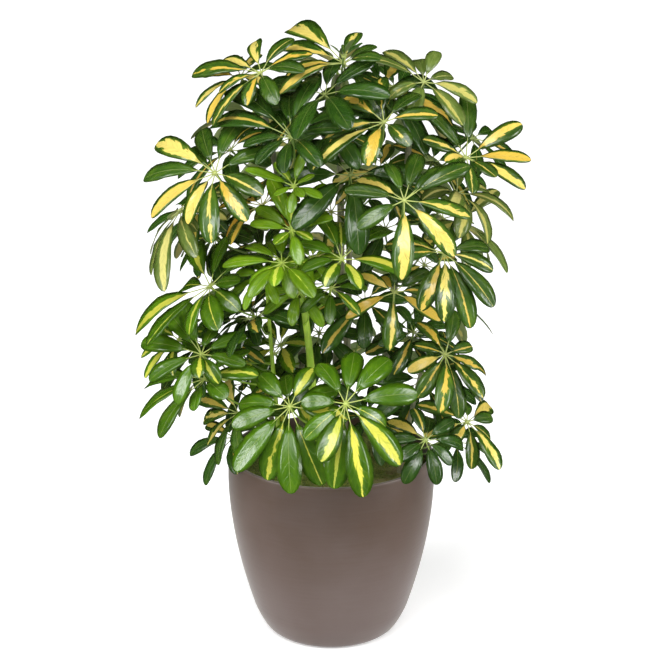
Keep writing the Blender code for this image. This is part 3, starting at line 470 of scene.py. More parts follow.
# How yellow the blades of some leaves are, from 0 to 1, in the order of their rays.
YELLOW = {
    "leaf_tall_3": (0.40, 0.30, 1.00, 0.40, 0.60, 0.80, 0.20),
    "leaf_tall_6": (0.85, 0.80, 0.75, 0.30, 0.00, 0.00, 0.20, 0.00),
    "leaf_left_5": (0.15, 0.90, 0.00, 0.00, 0.00, 0.00, 0.15, 0.95, 0.70, 0.80),
    "leaf_left_8": (0.60, 0.90, 0.90, 0.10, 0.80, 0.60),
    "leaf_right_2": (0.30, 0.00, 0.30, 0.15, 0.20, 0.95, 0.90, 0.00),
    "leaf_right_5": (0.95, 0.95, 0.60, 0.00, 0.00, 0.00, 0.00, 0.00, 0.10),
    "leaf_right_6": (0.00, 0.60, 0.90, 0.60, 0.20, 0.30, 0.50, 0.00),
    "leaf_right_9": (0.15, 0.00, 0.00, 0.20, 0.60, 0.40, 0.00),
    "leaf_low_front_1": (0.00, 0.10, 0.30, 0.00, 0.00, 0.70, 0.00, 0.10, 0.50, 0.00),
    "leaf_low_front_2": (0.00, 0.00, 0.00, 0.00, 0.28, 0.55, 0.45, 0.00, 0.10, 0.15, 0.10),
    "leaf_young_1": (0.45, 0.00, 0.00, 0.20, 0.10, 0.00, 0.15, 0.40, 0.55),
    "leaf_thin_1": (0.00, 0.12, 0.00, 0.00, 0.00),
    "leaf_thin_2": (0.00, 0.00, 0.00, 0.10, 0.10, 0.00, 0.30, 0.30),
    "leaf_thin_4": (0.40, 0.30, 0.25, 0.10, 0.10, 0.20, 0.10),
    "leaf_low_right_4": (0.10, 0.20, 0.50, 0.85, 0.10, 0.80, 0.60, 0.20),
    "leaf_low_right_1": (0.80, 0.10, 0.30, 0.80, 0.00, 0.00),
}


@dataclass(frozen=True)
class Yellowing:
    """How many of a leaf's blades stay plain, and how yellow the others are at least and at most."""

    plain: float
    low: float
    high: float


YELLOWINGS = {
    Tint.GOLD: Yellowing(0.28, 0.35, 0.95),
    Tint.DARK: Yellowing(0.62, 0.10, 0.45),
    Tint.FRESH: Yellowing(0.66, 0.30, 0.75),
    Tint.PALE: Yellowing(0.70, 0.10, 0.40),
    Tint.OLIVE: Yellowing(0.20, 0.20, 0.60),
    Tint.AMBER: Yellowing(0.15, 0.60, 1.00),
}


@dataclass(frozen=True)
class InnerHabit:
    """How the small inner leaves are held, and the shifts that are tried to find them room."""

    tilt: float = 38
    leaflets: int = 8
    front: float = -0.16
    tip_below: float = 0.01
    stem_clear: float = 0.02
    shifts: tuple[POINT, ...] = (
        (0, 0, 0), (0.012, 0, 0), (-0.012, 0, 0), (0, 0.014, 0), (0, -0.012, 0), (0, 0, 0.012),
        (0, 0, -0.012), (0.022, 0.012, 0), (-0.022, 0.012, 0), (0, 0.028, 0.012), (0, 0.028, -0.014),
    )


INSIDE = InnerHabit()


class Leaflet:
    """One leaflet: a straight stalk, then a blade that bends back along one arc."""

    def __init__(self, leaf: Leaf, azimuth: float, lift: float, bend: float, roll: float, blade: float,
                 number: int = -1) -> None:
        """Settle the leaflet's place and form on its leaf.

        Args:
            leaf: The leaf that bears it.
            azimuth: Its direction round the leaf's axis, in radians.
            lift: How far it rises from square to that axis, in radians.
            bend: How far the blade bends back along its length, in radians.
            roll: How far the blade turns about its own length, in radians.
            blade: The blade's length.
            number: Its place in the leaf's table entry, or -1 where it has none.
        """
        self.number = number
        self.hub = Vector(leaf.hub)
        self.axis, outward, aside = leaf.axes()
        self.azimuth = azimuth
        self.radial = outward * cos(azimuth) + aside * sin(azimuth)
        self.side = self.axis.cross(self.radial)
        self.lift, self.bend, self.roll = lift, bend, roll
        self.blade = blade
        self.stalk = blade * leaf.habit.stalk
        self.half_width = (0.5 * blade + 0.5 * leaf.blade) * leaf.habit.width / 2
        self.fold = tan(radians(leaf.habit.fold))

    def frame(self, along: float) -> tuple[Vector, Vector, Vector]:
        """The middle, side and upward directions at a distance along the leaflet's length.

        Args:
            along: The distance from the hub, along the stalk and then the blade.

        Returns:
            The point there, and two unit vectors: to its side and up from its face.
        """
        inside = max(along - self.stalk, 0.0)
        curl = self.bend / self.blade
        angle = self.lift - curl * inside
        straight = min(along, self.stalk)
        run = straight * cos(self.lift) + (sin(self.lift) - sin(angle)) / curl
        rise = straight * sin(self.lift) + (cos(angle) - cos(self.lift)) / curl
        middle = self.hub + self.radial * run + self.axis * rise
        upward = self.axis * cos(angle) - self.radial * sin(angle)
        turned = self.roll * min(along / self.stalk, 1.0)
        side = self.side * cos(turned) + upward * sin(turned)
        return middle, side, upward * cos(turned) - self.side * sin(turned)

    def stations(self) -> list[tuple[float, float]]:
        """(distance along, half width) from the stalk's end to the last wide place.

        Returns:
            The pairs, in order along the leaflet.
        """
        ends = [(self.stalk, SIZES.stalk_radius)]
        return ends + [(self.stalk + share * self.blade, wide * self.half_width)
                       for share, wide in SIZES.stations]

    def envelope(self, with_stalk: bool = True) -> ENVELOPE:
        """A closed box round the leaflet, a little larger all over, to test what it would hit.

        Args:
            with_stalk: Whether the box takes in the stalk as well as the blade.

        Returns:
            The box's points and faces.
        """
        rings = []
        margin = SIZES.margin
        low = SIZES.thickness + margin
        stalk = [(SIZES.hub_radius * 2, SIZES.stalk_radius)] if with_stalk else []
        for along, half in stalk + self.stations():
            middle, side, upward = self.frame(along)
            lifted = upward * (half * self.fold)
            reach = side * (half + margin)
            rings.append([
                middle - reach + lifted + upward * margin,
                middle + upward * margin,
                middle + reach + lifted + upward * margin,
                middle + reach + lifted - upward * low,
                middle - upward * low,
                middle - reach + lifted - upward * low,
            ])
        tip, _, upward = self.frame(self.stalk + self.blade + margin)
        rings.append([tip + upward * margin] * 3 + [tip - upward * low] * 3)
        return joined_rings(rings)


def joined_rings(rings: list[list[Vector]]) -> ENVELOPE:
    """The points and faces of a tube through rings of points, with its ends closed.

    Args:
        rings: The rings, all with the same number of points.

    Returns:
        The points, and each face as the numbers of its points.
    """
    count = len(rings[0])
    points = [point for ring in rings for point in ring]
    faces = [list(range(count))[::-1]]
    for k in range(len(rings) - 1):
        for i in range(count):
            j = (i + 1) % count
            faces.append([k * count + i, k * count + j, (k + 1) * count + j, (k + 1) * count + i])
    faces.append(list(range(len(points) - count, len(points))))
    return points, faces


def tube_envelope(path: Sequence[Vector], radii: Sequence[float], sides: int = 6) -> ENVELOPE:
    """A closed tube round a path, a little thicker than what it stands for.

    Args:
        path: The points along the tube's middle.
        radii: The radius of what it stands for, at each of them.
        sides: How many sides the tube has.

    Returns:
        The tube's points and faces.
    """
    rings = []
    for k, middle in enumerate(path):
        along = (path[min(k + 1, len(path) - 1)] - path[max(k - 1, 0)]).normalized()
        first = along.orthogonal().normalized()
        second = along.cross(first)
        reach = radii[k] + SIZES.margin
        rings.append([
            middle + (first * cos(2 * pi * i / sides) + second * sin(2 * pi * i / sides)) * reach
            for i in range(sides)
        ])
    return joined_rings(rings)


class Space:
    """What has been placed so far, to keep the next piece clear of it."""

    def __init__(self) -> None:
        """Start with nothing placed."""
        self.taken: list[tuple[str, SOLID]] = []

    @staticmethod
    def solid(envelope: ENVELOPE) -> SOLID:
        """An envelope's search tree, with its box.

        Args:
            envelope: The points and faces of a closed shape.

        Returns:
            The tree, and the lowest and highest corners of its box.
        """
        points, faces = envelope
        low = Vector([min(p[i] for p in points) for i in range(3)])
        high = Vector([max(p[i] for p in points) for i in range(3)])
        return BVHTree.FromPolygons(points, faces), low, high

    @staticmethod
    def meet(one: SOLID, other: SOLID) -> bool:
        """Whether two solids meet: their boxes first, then their faces.

        Args:
            one: A solid.
            other: Another one.

        Returns:
            True where their faces cross.
        """
        tree, low, high = one
        other_tree, other_low, other_high = other
        if any(low[i] > other_high[i] or high[i] < other_low[i] for i in range(3)):
            return False
        return bool(tree.overlap(other_tree))

    def near(self, middle: Sequence[float], reach: float) -> "Space":
        """What has been placed within reach of a point.

        Args:
            middle: The point.
            reach: How far from it still counts as near, each way.

        Returns:
            A space that holds only those solids.
        """
        found = Space()
        found.taken = [
            (owner, solid) for owner, solid in self.taken
            if all(solid[1][i] < middle[i] + reach and solid[2][i] > middle[i] - reach for i in range(3))
        ]
        return found

    def is_free(self, solid: SOLID, leave_out: tuple = ()) -> bool:
        """Whether nothing placed so far meets this solid, leaving out the named owners."""
        return not any(self.meet(solid, other) for owner, other in self.taken
                       if owner not in leave_out)

    def take(self, owner: str, solid: SOLID) -> None:
        """Keep this solid as placed, under its owner's name."""
        self.taken.append((owner, solid))


def petiole_path(stem: Stem, leaf: Leaf, drop: float, aside: float) -> list[Vector]:
    """Points along a leafstalk, square to the stem at its foot and in line with the leaf's axis.

    Args:
        stem: The stem that bears the leaf.
        leaf: The leaf at the stalk's end.
        drop: How far below the leaf's hub the stalk leaves the stem.
        aside: How far the stalk bows sideways.

    Returns:
        The points from the stem's surface to the hub.
    """
    hub = Vector(leaf.hub)
    axis = leaf.axes()[0]
    foot_height = min(leaf.hub[2] - drop, stem.tip[2] - SIZES.below_tip)
    core = stem.at(foot_height)
    outward = Vector((hub.x - core.x, hub.y - core.y, 0.0)).normalized()
    start = core + outward * (stem.radius_at(foot_height) + SIZES.foot_gap)
    reach = (hub - start).length
    first = start + outward * (SIZES.petiole_out * reach) + Vector((-outward.y, outward.x, 0.0)) * aside
    second = hub - axis * (SIZES.petiole_in * reach)
    path = [start, start + outward * SIZES.foot_length]
    for t in SIZES.petiole_shares:
        path.append(start * (1 - t) ** 3 + first * (3 * t * (1 - t) ** 2)
                    + second * (3 * t * t * (1 - t)) + hub * t**3)
    return path


def place_petiole(space: Space, stem: Stem, leaf: Leaf, name: str, only_free: bool = False) -> list[Vector]:
    """A leafstalk, with the hub at its end, that keeps clear of the stems and of the others.

    Args:
        space: What has been placed so far.
        stem: The stem that bears the leaf.
        leaf: The leaf at the stalk's end.
        name: The leaf's name.
        only_free: Whether to place none where none is clear, and not the last one tried.

    Returns:
        The points along the stalk: none where none is placed.
    """
    drop = SIZES.petiole_drop + SIZES.petiole_slope * stem.distance(leaf.hub)
    hub_top = Vector(leaf.hub) + leaf.axes()[0] * SIZES.hub_height
    radii = [SIZES.foot_radius] + [SIZES.petiole_radius] * len(SIZES.petiole_shares)
    radii += [SIZES.hub_radius, SIZES.hub_radius]
    for lower, aside in product(SIZES.petiole_tries, SIZES.petiole_tries):
        path = petiole_path(stem, leaf, drop + lower, aside)
        solid = space.solid(tube_envelope(path + [hub_top], radii, SIZES.hub_sides))
        if space.is_free(solid, (stem.name,)):
            break
    else:
        if only_free:
            return []
    space.take(name, solid)
    return path


LIFT_NUDGES = (0, -10, 10, -20, 20, -32, 32)
BEND_NUDGES = (0, 18, -18, 36)
YAW_NUDGES = (0, 6, -6, 13, -13)
ROLL_NUDGES = (0, 18, -18)
SHORTER = (0.0, 0.12, 0.25, 0.38)
FILL_YAWS = (0, 8, -8)
FILL_SHORTER = (0.0, 0.2, 0.4)
BEND_COST = 0.6
YAW_COST = 1.6
ROLL_COST = 0.7
SHORTER_COST = 90


def effort(nudge: NUDGE) -> float:
    """How much a nudge changes a leaflet: by lift, bend, yaw and roll in degrees, and in length.

    Args:
        nudge: The changes of lift, bend, yaw and roll, and the share cut from the length.

    Returns:
        The cost of the nudge: 0 for none.
    """
    lift, bend, yaw, roll, shorter = nudge
    return (abs(lift) + BEND_COST * abs(bend) + YAW_COST * abs(yaw) + ROLL_COST * abs(roll)
            + SHORTER_COST * shorter)


NUDGES = sorted(product(LIFT_NUDGES, BEND_NUDGES, YAW_NUDGES, ROLL_NUDGES, SHORTER), key=effort)
FILL_NUDGES = sorted(product(LIFT_NUDGES, BEND_NUDGES, FILL_YAWS, (0,), FILL_SHORTER), key=effort)


@dataclass(frozen=True)
class Aim:
    """How a leaflet would stand if nothing were in its way: angles in degrees."""

    azimuth: float
    lift: float
    bend: float
    roll: float
    blade: float
    number: int = -1

    def nudged(self, leaf: Leaf, nudge: NUDGE) -> Leaflet:
        """The leaflet on its leaf, after a nudge.

        Args:
            leaf: The leaf that bears it.
            nudge: The changes of lift, bend, yaw and roll, and the share cut from the length.

        Returns:
            The leaflet where the nudge puts it.
        """
        up, more, yaw, rolled, shorter = nudge
        return Leaflet(
            leaf, radians(self.azimuth + yaw), radians(self.lift + up),
            radians(max(self.bend + more, SIZES.least_bend)), radians(self.roll + rolled),
            self.blade * (1 - shorter), self.number,
        )


@dataclass(frozen=True)
class Scatter:
    """The ranges of a leaflet's draws: turns in degrees, and the length as a share."""

    azimuth: PAIR
    lift: PAIR
    bend: PAIR
    length: PAIR
    roll: PAIR | None = None

    def aim(self, leaf: Leaf, azimuth: float, share: float, draw: random.Random, number: int = -1) -> Aim:
        """Where a leaflet is wanted, scattered a little.

        Args:
            leaf: The leaf that bears it.
            azimuth: Its direction round the leaf's axis, in degrees.
            share: Its length, as a share of the leaf's blade.
            draw: The leaf's seeded draws.
            number: Its place in the leaf's table entry, or -1 where it has none.

        Returns:
            The leaflet's stand and size.
        """
        return Aim(
            azimuth=azimuth + draw.uniform(*self.azimuth),
            lift=leaf.habit.lift + draw.uniform(*self.lift),
            bend=leaf.habit.bend + draw.uniform(*self.bend),
            roll=draw.uniform(*self.roll) if self.roll else 0.0,
            blade=leaf.blade * share * draw.uniform(*self.length),
            number=number,
        )


OWN_SCATTER = Scatter(azimuth=(-3, 3), lift=(-5, 5), bend=(-8, 8), roll=(-10, 10), length=(0.94, 1.04))
ADDED_SCATTER = Scatter(azimuth=(-4, 4), lift=(-12, 6), bend=(-8, 14), length=(0.55, 0.80))


class LeafletFitter:
    """Fits the leaflets of one leaf, each bent clear of what is there."""

    def __init__(self, space: Space, leaf: Leaf, name: str, placed: Sequence[Leaflet] = ()) -> None:
        """Start on a leaf with what is near it, and with the leaflets that it has already.

        Args:
            space: What has been placed so far.
            leaf: The leaf.
            name: The leaf's name.
            placed: The leaflets that it has already.
        """
        self.space = space
        self.leaf = leaf
        self.name = name
        self.placed = list(placed)
        self.near = space.near(leaf.hub, SIZES.reach * leaf.blade)
        self.blades = [space.solid(leaflet.envelope(with_stalk=False)) for leaflet in placed]

    def crowds(self, azimuth: float) -> bool:
        """Whether one of the leaf's leaflets stands too close to a direction, in degrees."""
        return any(abs((azimuth - degrees(other.azimuth) + 180) % 360 - 180) < SIZES.closest
                   for other in self.placed)

    def fit(self, aim: Aim, nudges: Sequence[NUDGE], keep_apart: bool) -> None:
        """Add a leaflet by the least nudge that clears it, or leave it out where none does.

        Args:
            aim: How the leaflet would stand if nothing were in its way.
            nudges: The nudges to try, the least first.
            keep_apart: Whether it also keeps its distance from the leaf's other leaflets.
        """
        for nudge in nudges:
            if keep_apart and self.crowds(aim.azimuth + nudge[2]):
                continue
            leaflet = aim.nudged(self.leaf, nudge)
            solid = self.space.solid(leaflet.envelope())
            blade = self.space.solid(leaflet.envelope(with_stalk=False))
            if self.near.is_free(solid, (self.name,)) and not any(
                    self.space.meet(blade, other) for other in self.blades):
                self.placed.append(leaflet)
                self.blades.append(blade)
                self.space.take(self.name, solid)
                return


def place_leaflets(space: Space, leaf: Leaf, name: str) -> list[Leaflet]:
    """The leaf's leaflets, each near the direction and length that its table entry asks for.

    Args:
        space: What has been placed so far.
        leaf: The leaf that they grow on.
        name: The leaf's name, which seeds the draws.

    Returns:
        The leaflets that found room.
    """
    draw = random.Random(name)
    fitter = LeafletFitter(space, leaf, name)
    for number, (azimuth, share) in enumerate(leaf.wanted()):
        fitter.fit(OWN_SCATTER.aim(leaf, azimuth, share, draw, number), NUDGES, keep_apart=True)
    return fitter.placed


@dataclass(frozen=True)
class PlacedLeaf:
    """A leaf in its place: its name, its stem, its table entry, its stalk's path and its leaflets."""

    name: str
    stem: Stem
    leaf: Leaf
    path: list[Vector]
    leaflets: list[Leaflet]

    @property
    def tint(self) -> Tint:
        """The colouring that the leaf is finished in."""
        return TINTS.get(self.name, self.leaf.tint)


def filled(space: Space, placed: PlacedLeaf) -> PlacedLeaf:
    """The leaf with smaller leaflets added wherever two of its leaflets stand far apart.

    Args:
        space: What has been placed so far.
        placed: The leaf with its own leaflets.

    Returns:
        The leaf with the added leaflets after its own.
    """
    draw = random.Random(placed.name + " more")
    turns = sorted(degrees(leaflet.azimuth) % 360 for leaflet in placed.leaflets)
    if len(turns) < 2:
        return placed
    fitter = LeafletFitter(space, placed.leaf, placed.name, placed.leaflets)
    for first, second in zip(turns, turns[1:] + [turns[0] + 360]):
        count = round((second - first) / SIZES.full_spacing) - 1
        for k in range(count):
            between = first + (second - first) * (k + 1) / (count + 1)
            fitter.fit(ADDED_SCATTER.aim(placed.leaf, between, 1.0, draw), FILL_NUDGES, keep_apart=False)
    return replace(placed, leaflets=fitter.placed)


def place_inner(space: Space, name: str, hub: POINT, blade: float, tint: Tint) -> PlacedLeaf | None:
    """A small leaf inside the plant, on the nearest stem, where its stalk and hub find room.

    Args:
        space: What has been placed so far.
        name: The leaf's name.
        hub: Where its hub is wanted.
        blade: The length of its blades.
        tint: Its colouring.

    Returns:
        The leaf, or none where no shift of it finds room.
    """
    for shift in INSIDE.shifts:
        at = tuple(hub[i] + shift[i] for i in range(3))
        tall_enough = [stem for stem in STEMS if stem.tip[2] > at[2] - INSIDE.tip_below]
        stem = min(tall_enough, key=lambda candidate: candidate.distance(at))
        if stem.distance(at) < INSIDE.stem_clear:
            continue
        facing = degrees(atan2(INSIDE.front, at[0]))
        leaf = Leaf(at, facing, INSIDE.tilt, INSIDE.leaflets, blade, SPREAD, tint)
        path = place_petiole(space, stem, leaf, name, only_free=True)
        if path:
            return PlacedLeaf(name, stem, leaf, path, place_leaflets(space, leaf, name))
    return None


def pot_envelope(sides: int = 24) -> ENVELOPE:
    """The planter's outer wall and the moss in its mouth, as one closed tub.

    Args:
        sides: How many sides the tub has.

    Returns:
        The tub's points and faces.
    """
    turned = [(POT.radius(z), z) for z in POT_RINGS]
    turned += [(POT.belly_radius, POT.belly_height), (POT.rim_radius, POT.height),
               (POT.rim_radius - POT.wall, POT.height),
               (GROUND.moss_radius, GROUND.rise_from + GROUND.moss_bump)]
    rings = []
    for radius, z in turned:
        wide = radius + SIZES.margin
        rings.append([
            Vector((wide * cos(2 * pi * i / sides), wide * sin(2 * pi * i / sides), z + SIZES.margin))
            for i in range(sides)
        ])
    return joined_rings(rings)


def lay_out() -> list[PlacedLeaf]:
    """Place every leaf: stems first, then the leafstalks, then the leaflets of the front leaves.

    Returns:
        The leaves of the frame from front to back, then the small inner leaves.
    """
    space = Space()
    space.take("pot", space.solid(pot_envelope()))
    for stem in STEMS:
        heights = stem.heights()[1:]
        path = [stem.at(z) for z in heights]
        space.take(stem.name, space.solid(tube_envelope(path, [stem.radius_at(z) for z in heights])))
    leaves = [(f"leaf_{stem.name}_{i + 1}", stem, leaf)
              for stem in STEMS for i, leaf in enumerate(stem.leaves)]
    leaves.sort(key=lambda entry: entry[2].hub[1])
    paths = {name: place_petiole(space, stem, leaf, name) for name, stem, leaf in leaves}
    outer = [PlacedLeaf(name, stem, leaf, paths[name], place_leaflets(space, leaf, name))
             for name, stem, leaf in leaves]
    outer = [filled(space, placed) for placed in outer]
    inner = [place_inner(space, f"leaf_inner_{i + 1}", *entry) for i, entry in enumerate(INNER)]
    return outer + [placed for placed in inner if placed]


# ---------------------------------------------------------------- shaders


class Value:
    """A number or colour inside a material, on which plain arithmetic builds Math nodes."""

    def __init__(self, graph: "Graph", socket: bpy.types.NodeSocket) -> None:
        """Wrap one output of a material's node."""
        self.graph = graph
        self.socket = socket

    def __add__(self, other: "Value | float") -> "Value":
        """The sum."""
        return self.graph.maths("ADD", self, other)

    def __sub__(self, other: "Value | float") -> "Value":
        """The difference."""
        return self.graph.maths("SUBTRACT", self, other)

    def __mul__(self, other: "Value | float") -> "Value":
        """The product."""
        return self.graph.maths("MULTIPLY", self, other)

    def __rsub__(self, other: float) -> "Value":
        """The difference from a plain number."""
        return self.graph.maths("SUBTRACT", other, self)

    __radd__ = __add__
    __rmul__ = __mul__

    def size(self) -> "Value":
        """The number without its sign."""
        return self.graph.maths("ABSOLUTE", self, 0.0)

    def floor(self) -> "Value":
        """The whole number below."""
        return self.graph.maths("FLOOR", self, 0.0)

    def part(self) -> "Value":
        """What is left above the whole number below."""
        return self.graph.maths("FRACT", self, 0.0)

    def least(self, other: "Value | float") -> "Value":
        """The smaller of two numbers."""
        return self.graph.maths("MINIMUM", self, other)

    def above(self, other: "Value | float") -> "Value":
        """1 where the number is above the other, else 0."""
        return self.graph.maths("GREATER_THAN", self, other)

    def below(self, other: "Value | float") -> "Value":
        """1 where the number is below the other, else 0."""
        return self.graph.maths("LESS_THAN", self, other)

    def eased(self, low: "Value | float", high: "Value | float") -> "Value":
        """A soft step from 0 at low to 1 at high.

        Args:
            low: Where the step starts.
            high: Where it ends.

        Returns:
            The step's height.
        """
        return self.graph.add(
            "ShaderNodeMapRange", {"Value": self, "From Min": low, "From Max": high},
            interpolation_type="SMOOTHSTEP",
        )


class Role(IntEnum):
    """What a face of a leaf belongs to."""

    PETIOLE = 0
    STALKLET = 1
    TOP = 2
    UNDERSIDE = 3


class Graph:
    """A material's nodes, with one method that adds any node."""

    def __init__(self, name: str) -> None:
        """Start a material that has only its shader.

        Args:
            name: The material's name.
        """
        self.material = bpy.data.materials.new(name)
        self.material.use_nodes = True
        self.tree = self.material.node_tree
        self.shader = self.tree.nodes["Principled BSDF"]

    def add(self, kind: str, inputs: dict | None = None, output: int = 0, **settings: object) -> Value:
        """Add a node.

        Args:
            kind: The node's type.
            inputs: A value, or another node's output, for each named or numbered socket.
            output: Which of the node's outputs to return.
            **settings: The node's own settings.

        Returns:
            The chosen output.
        """
        node = self.tree.nodes.new(kind)
        for setting, chosen in settings.items():
            setattr(node, setting, chosen)
        for socket, value in (inputs or {}).items():
            self.feed(node.inputs[socket], value)
        return Value(self, node.outputs[output])

    def feed(self, socket: bpy.types.NodeSocket, value: object) -> None:
        """Link an output to a socket, or set the socket to a constant.

        Args:
            socket: The socket.
            value: Another node's output, or a constant.
        """
        if isinstance(value, Value):
            self.tree.links.new(value.socket, socket)
        elif isinstance(value, tuple) and socket.type == "RGBA":
            socket.default_value = (*value[:3], 1.0)
        else:
            socket.default_value = value

    def maths(self, operation: str, first: Value | float, second: Value | float) -> Value:
        """A Math node."""
        return self.add("ShaderNodeMath", {0: first, 1: second}, operation=operation)

    def mix(self, share: Value | float, first: Value | COLOUR, second: Value | COLOUR) -> Value:
        """A blend of two colours: the first where the share is 0, the second where it is 1."""
        return self.add("ShaderNodeMix", {0: share, 6: first, 7: second}, 2, data_type="RGBA")

    def brighter(self, colour: Value, by: Value | float) -> Value:
        """A colour made lighter or darker by a factor."""
        return self.add("ShaderNodeVectorMath", {0: colour, 3: by}, operation="SCALE")

    def attribute(self, name: str) -> Value:
        """A number that the mesh carries on each face."""
        return self.add("ShaderNodeAttribute", output=2, attribute_name=name)

    def place(self) -> Value:
        """The point's place on the object, in metres."""
        return self.add("ShaderNodeTexCoord", output=3)

    def stretched(self, place: Value, factors: COLOUR) -> Value:
        """A place with each direction scaled by its own factor."""
        return self.add("ShaderNodeVectorMath", {0: place, 1: factors}, operation="MULTIPLY")

    def clouds(self, place: Value, scale: float, detail: float = 3.0, roughness: float = 0.55) -> Value:
        """Soft noise between 0 and 1.

        Args:
            place: Where the noise is read.
            scale: How fine it is.
            detail: How many finer layers it has.
            roughness: How strong those layers are.

        Returns:
            The noise.
        """
        return self.add("ShaderNodeTexNoise", {
            "Vector": place, "Scale": scale, "Detail": detail, "Roughness": roughness,
        })

    def speckle(self, x: Value | float, y: Value | float, z: Value | float) -> Value:
        """A number between 0 and 1 that jumps with each new set of three."""
        return self.add("ShaderNodeTexWhiteNoise", {"Vector": self.vector(x, y, z)})

    def vector(self, x: Value | float, y: Value | float, z: Value | float) -> Value:
        """Three numbers joined into a place."""
        return self.add("ShaderNodeCombineXYZ", {0: x, 1: y, 2: z})

    def bump(self, height: Value, distance: float, strength: float = 1.0) -> Value:
        """A relief whose highest points stand this far proud, in metres."""
        return self.add("ShaderNodeBump", {"Strength": strength, "Distance": distance, "Height": height})

    def finish(self, **inputs: Value | float | COLOUR) -> bpy.types.Material:
        """Feed the surface, each input under its name with underscores for spaces.

        Args:
            **inputs: A value, or a node's output, for each of the shader's sockets.

        Returns:
            The finished material.
        """
        for name, value in inputs.items():
            self.feed(self.shader.inputs[name.replace("_", " ").title().replace("Ior", "IOR")], value)
        return self.material


@dataclass(frozen=True)
class Pattern:
    """How the yellow lies on a blade: lengths are shares of its half width or its length."""

    bands: float = 9.0
    slant: float = 2.2
    bent_bands: float = 1.1
    fingers: float = 0.45
    lopsided: float = 1.75
    drift: float = 1.3
    most: float = 0.10
    at_foot: float = 1.10
    towards_tip: float = 0.42
    drawn_in: float = 0.08
    edge_left: float = 0.84
    edge_taper: float = 0.10
    edge_lopsided: float = 0.20
    ragged: float = 0.16
    sharp: PAIR = (-0.05, 0.03)
    soft: PAIR = (0.02, 0.28)
    green_streaks: float = 0.4


@dataclass(frozen=True)
class LeafFinish:
    """A glossy variegated blade: yellow runs out from the midrib between the side veins."""

    name: str
    green: COLOUR
    lime: COLOUR
    yellow: COLOUR
    ripe: COLOUR
    under: COLOUR
    stalk: COLOUR
    petiole: COLOUR
    gloss: float = 0.20
    coat: float = 0.35
    vein_edge: PAIR = (0.42, 0.49)
    midrib_edge: PAIR = (0.012, 0.040)
    relief: float = 0.0007
    pattern: Pattern = Pattern()

    def build(self) -> bpy.types.Material:
        """The material, which reads each blade's own map and the numbers on its faces.

        Returns:
            The finished material.
        """
        graph, pattern = Graph(self.name), self.pattern
        place = graph.add("ShaderNodeUVMap", uv_map="leaf")
        across = graph.add("ShaderNodeSeparateXYZ", {0: place}) * 2.0 - 1.0
        along = graph.add("ShaderNodeSeparateXYZ", {0: place}, 1)
        seed, streak, role = graph.attribute("seed"), graph.attribute("streak"), graph.attribute("role")
        reach = across.size()
        half = across.above(0.0)
        own = graph.vector(across * 1.4, along * 3.0, seed * 53.0)
        wander = graph.clouds(own, 1.6, 2.0)
        fine = graph.clouds(own, 8.0, 3.0)
        phase = along * pattern.bands - reach * pattern.slant + wander * pattern.bent_bands
        streaky = graph.clouds(graph.vector(phase * 3.2, reach * 1.6, seed * 31.0 + half * 7.0), 1.0, 2.0)
        finger = graph.speckle(phase.floor(), half, (seed * 41.0).floor())
        lopsided = graph.speckle(seed * 91.0, half, 3.0)

        patch = finger * pattern.fingers + lopsided * lopsided * pattern.lopsided
        patch = patch + (wander - 0.5) * pattern.drift + pattern.most
        extent = streak * patch * (pattern.at_foot - along * pattern.towards_tip) - pattern.drawn_in
        extent = extent.least(
            pattern.edge_left - along * pattern.edge_taper - lopsided * pattern.edge_lopsided)
        ragged = reach + (fine - 0.5) * pattern.ragged
        inner = 1.0 - ragged.eased(extent + pattern.sharp[0], extent + pattern.sharp[1])
        outer = 1.0 - ragged.eased(extent + pattern.soft[0], extent + pattern.soft[1])
        gilded = inner * (1.0 - streaky.eased(0.60, 0.74) * pattern.green_streaks)
        middle = (phase.part() - 0.5).size()
        vein = middle.eased(*self.vein_edge)
        midrib = 1.0 - reach.eased(*self.midrib_edge)

        shade = graph.speckle(seed * 17.0, 1.0, 2.0) * 0.5 + 0.75
        ripe = graph.speckle(seed * 23.0, 4.0, 5.0)
        base = graph.brighter(graph.mix(wander.eased(0.35, 0.75) * 0.35, self.green, self.lime), shade)
        gold = graph.brighter(graph.mix(ripe, self.yellow, self.ripe), streaky * -0.35 + 1.14)
        blade = graph.mix(outer * streak * 0.7, base, self.lime)
        blade = graph.mix(gilded, blade, gold)
        blade = graph.mix(vein * 0.18, blade, self.lime)
        blade = graph.mix(midrib * 0.28, blade, self.stalk)
        under = graph.brighter(graph.mix(inner * 0.5, self.under, self.yellow), shade)
        under = graph.mix(midrib * 0.6, under, self.stalk)

        is_under = role.above((Role.TOP + Role.UNDERSIDE) / 2)
        is_stalk = role.below((Role.STALKLET + Role.TOP) / 2)
        is_petiole = role.below((Role.PETIOLE + Role.STALKLET) / 2)
        colour = graph.mix(is_under, blade, under)
        stem = graph.mix(is_petiole, self.stalk, self.petiole)
        colour = graph.mix(is_stalk, colour, graph.brighter(stem, wander * 0.5 + 0.75))
        matt = is_under * 0.30 + is_stalk * 0.16
        relief = (1.0 - vein) * 0.5 - middle * 0.5 - midrib * 0.8 + fine * 0.3
        return graph.finish(
            base_color=colour,
            roughness=matt + self.gloss + fine * 0.10,
            coat_weight=(1.0 - is_under) * (1.0 - is_stalk) * self.coat,
            coat_roughness=0.12,
            specular_ior_level=0.5,
            normal=graph.bump(relief * (1.0 - is_stalk), self.relief, 0.55),
        )


